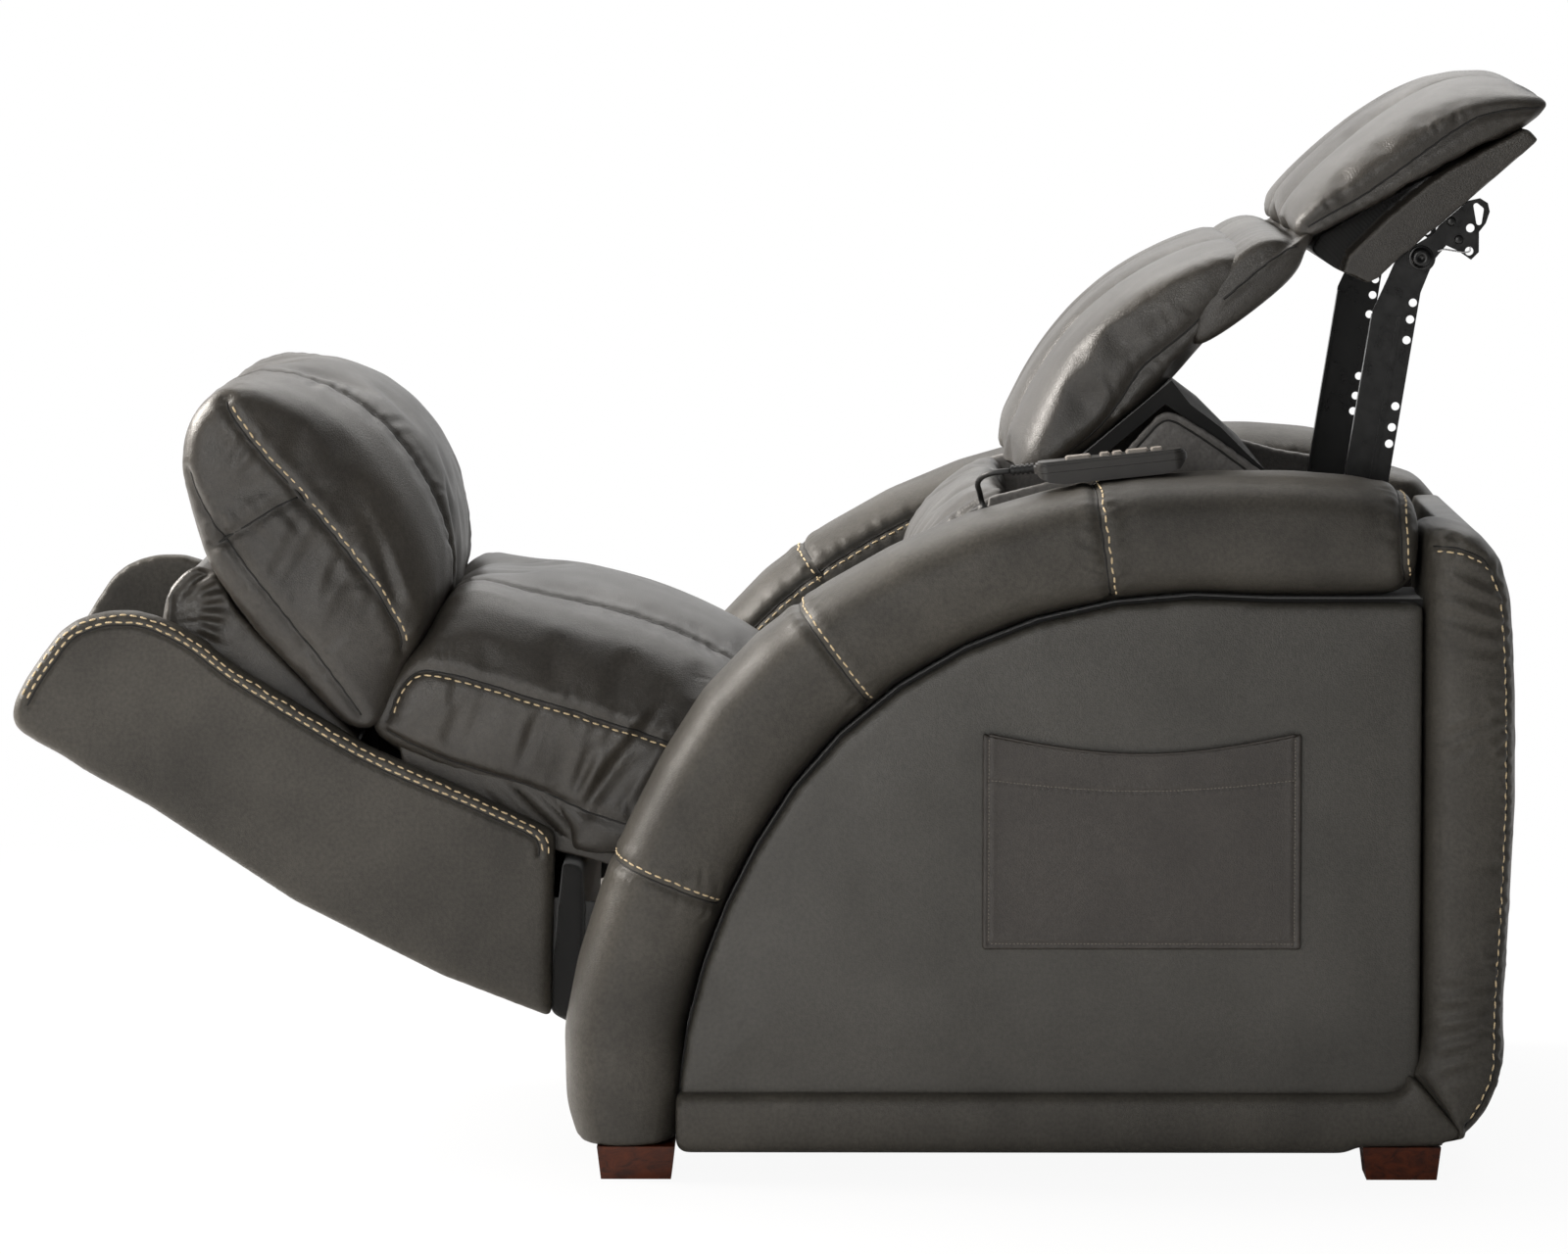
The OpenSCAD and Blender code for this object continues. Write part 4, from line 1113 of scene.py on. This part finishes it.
cushion_piece(
    "seat_padding", "seat_cushion", "seat", seat_sewing, [(290, SEAT_SIDE), (170, SEAT_CROWN)],
    plane((780, 306), (1, 0)), [(290, SEAT_SIDE, -6, 26), (290, SEAT_LOW, 0, 14), (170, SEAT_CROWN, 0, 2)],
    pucker=0.2, shape=fuller_front,
    folds=both_folds(288, [(690, 490, 575, 340, 6, 8), (668, 444, 610, 352, 5, 7), (600, 432, 566, 342, 4, 6),
                           (700, 540, 650, 470, 4, 8), (545, 470, 520, 400, 2.5, 6), (470, 490, 440, 420, 2, 6)]),
)
cushion_piece(
    "back_padding", "back_cushion", "back", back_sewing, [(290, BACK_SIDE), (97, BACK_CROWN)],
    plane((1080, 706), (230, 194)), [(290, BACK_SIDE, 0, 22), (97, BACK_CROWN, 0, 3)], shrink=6, pucker=0.2,
    folds=both_folds(266, [(1192, 866, 1228, 910, 6, 8), (1214, 874, 1246, 928, 6, 8), (1166, 856, 1200, 892, 5, 7),
                           (1240, 900, 1262, 940, 4, 7), (1130, 800, 1170, 850, 3, 8)]),
)
cushion_piece(
    "bolster_padding", "bolster", "back", back_sewing, [(276, [(924, 600), (950, 645), (1006, 688), (1030, 690)])],
    plane((985, 600), (1, 0)), [(262, [(922, 590), (930, 625), (956, 650), (1006, 688), (1030, 690)], 0, 10)],
    cap=12, voxel=5, shrink=3,
)
cushion_piece(
    "head_padding", "head_cushion", "headrest", head_sewing, [(290, HEAD_SIDE), (97, HEAD_CROWN)],
    plane((1358, 960), (223, 119)), [(290, HEAD_SIDE, 0, 12), (97, HEAD_CROWN, 0, 3)], pucker=0.12,
)
cushion_piece(
    "leg_padding", "leg_pad", "footrest", foot_sewing, [(290, PAD_SIDE), (170, PAD_CROWN)],
    plane((222, 566), (130, -138)),
    [(290, PAD_SIDE, 6, 26), (170, PAD_CROWN, 0, 10), (290, PAD_CROSS, 0, 8), (290, PAD_LOW, 0, 14)],
    cap=18, shrink=1, shape=longer_tip,
    folds=both_folds(286, [(300, 678, 255, 590, 4, 7), (334, 626, 298, 530, 5, 7), (248, 765, 212, 704, 3, 6),
                           (372, 640, 402, 556, 4, 8), (350, 690, 392, 610, 3, 8)]),
)

shell = soft_piece(
    "head_shell", "head_board", "headrest", CUSHION, voxel=4, smooth=3
)
hollow_out(shell)
soft_piece("tray_leather", "tray_panel", "footrest", PANEL, voxel=5, smooth=4)
flap = soft_piece("tray_flap_cloth", "tray_flap", "footrest", LINING_AND_PAINTED_SHADE, voxel=5, smooth=4)
set_coords(flap.data, coords(flap.data) * [FLAP_GROWTH, 1, 1])
add_leg_skirt()
for side, word in ((1, "left"), (-1, "right")):
    add_tray_wing(side, word)
    add_back_wing(side, word)

add_aprons()
add_neck()
add_hardware()
for sewing in (base_sewing, seat_sewing, foot_sewing, back_sewing, head_sewing):
    sewing.finish()


# Studio


def add_floor():
    material, tree, shader = node_material("studio_white")
    shader.inputs["Base Color"].default_value = (0.8, 0.8, 0.8, 1)
    shader.inputs["Roughness"].default_value = 0.6
    glow = tree.nodes.new("ShaderNodeEmission")
    path = tree.nodes.new("ShaderNodeLightPath")
    mix = tree.nodes.new("ShaderNodeMixShader")
    out = tree.nodes["Material Output"]
    where = tree.nodes.new("ShaderNodeTexCoord")
    spread = tree.nodes.new("ShaderNodeMapping")
    spread.inputs["Scale"].default_value = (0.25, 0.25, 0.25)
    tree.links.new(where.outputs["Object"], spread.inputs["Vector"])
    near = tree.nodes.new("ShaderNodeTexGradient")
    near.gradient_type = "SPHERICAL"
    tree.links.new(spread.outputs[0], near.inputs["Vector"])
    share = tree.nodes.new("ShaderNodeMath")
    share.operation = "MULTIPLY"
    tree.links.new(ramp(tree, near.outputs["Fac"], [(0.35, 1.0), (0.8, 0.93)]), share.inputs[1])
    tree.links.new(path.outputs["Is Camera Ray"], share.inputs[0])
    tree.links.new(share.outputs[0], mix.inputs[0])
    tree.links.new(shader.outputs[0], mix.inputs[1])
    tree.links.new(glow.outputs[0], mix.inputs[2])
    tree.links.new(mix.outputs[0], out.inputs["Surface"])
    size = 14
    mesh = bpy.data.meshes.new("floor")
    mesh.from_pydata([(-size, -size, 0), (size, -size, 0), (size, size, 0), (-size, size, 0)], [], [(0, 1, 2, 3)])
    mesh.materials.append(material)
    link("floor", mesh)


def add_world():
    world = bpy.data.worlds.new("studio")
    world.use_nodes = True
    tree = world.node_tree
    light = tree.nodes["Background"]
    where = tree.nodes.new("ShaderNodeTexCoord")
    middle = tree.nodes.new("ShaderNodeMapping")
    middle.inputs["Location"].default_value = (0.5, 0.5, 0.5)
    middle.inputs["Scale"].default_value = (0.5, 0.5, 0.5)
    tree.links.new(where.outputs["Generated"], middle.inputs["Vector"])
    across = tree.nodes.new("ShaderNodeTexGradient")
    tree.links.new(middle.outputs[0], across.inputs["Vector"])
    tree.links.new(ramp(tree, across.outputs["Color"], [(0.0, 1.0), (0.4, 0.3), (0.6, 0.1)]), light.inputs["Color"])
    light.inputs["Strength"].default_value = 1.1
    white = tree.nodes.new("ShaderNodeBackground")
    white.inputs["Color"].default_value = (1, 1, 1, 1)
    white.inputs["Strength"].default_value = 1
    path = tree.nodes.new("ShaderNodeLightPath")
    mix = tree.nodes.new("ShaderNodeMixShader")
    tree.links.new(path.outputs["Is Camera Ray"], mix.inputs[0])
    tree.links.new(light.outputs[0], mix.inputs[1])
    tree.links.new(white.outputs[0], mix.inputs[2])
    tree.links.new(mix.outputs[0], tree.nodes["World Output"].inputs["Surface"])
    bpy.context.scene.world = world


def add_lamp(name, at, to, size, power, colour):
    data = bpy.data.lights.new(name, "AREA")
    data.shape = "RECTANGLE"
    data.size, data.size_y = size
    data.energy = power
    data.color = colour
    lamp = link(name, data)
    lamp.location = at
    lamp.rotation_euler = (Vector(to) - Vector(at)).to_track_quat("-Z", "Y").to_euler()


add_floor()
add_world()
add_lamp("front_key", (-0.9, -3.9, 2.8), (0, 0.2, 0.7), (2.2, 1.8), 500, (1, 0.95, 0.89))
add_lamp("top_soft", (-1.3, 0.2, 3.0), (0, 0, 0.5), (2.6, 3.0), 62, (1, 0.98, 0.95))
add_lamp("side_soft", (4.4, -1.2, 1.6), (0.3, 0, 0.45), (2.4, 2.0), 76, (1, 0.99, 0.97))

bpy.context.scene.view_settings.view_transform = "Standard"
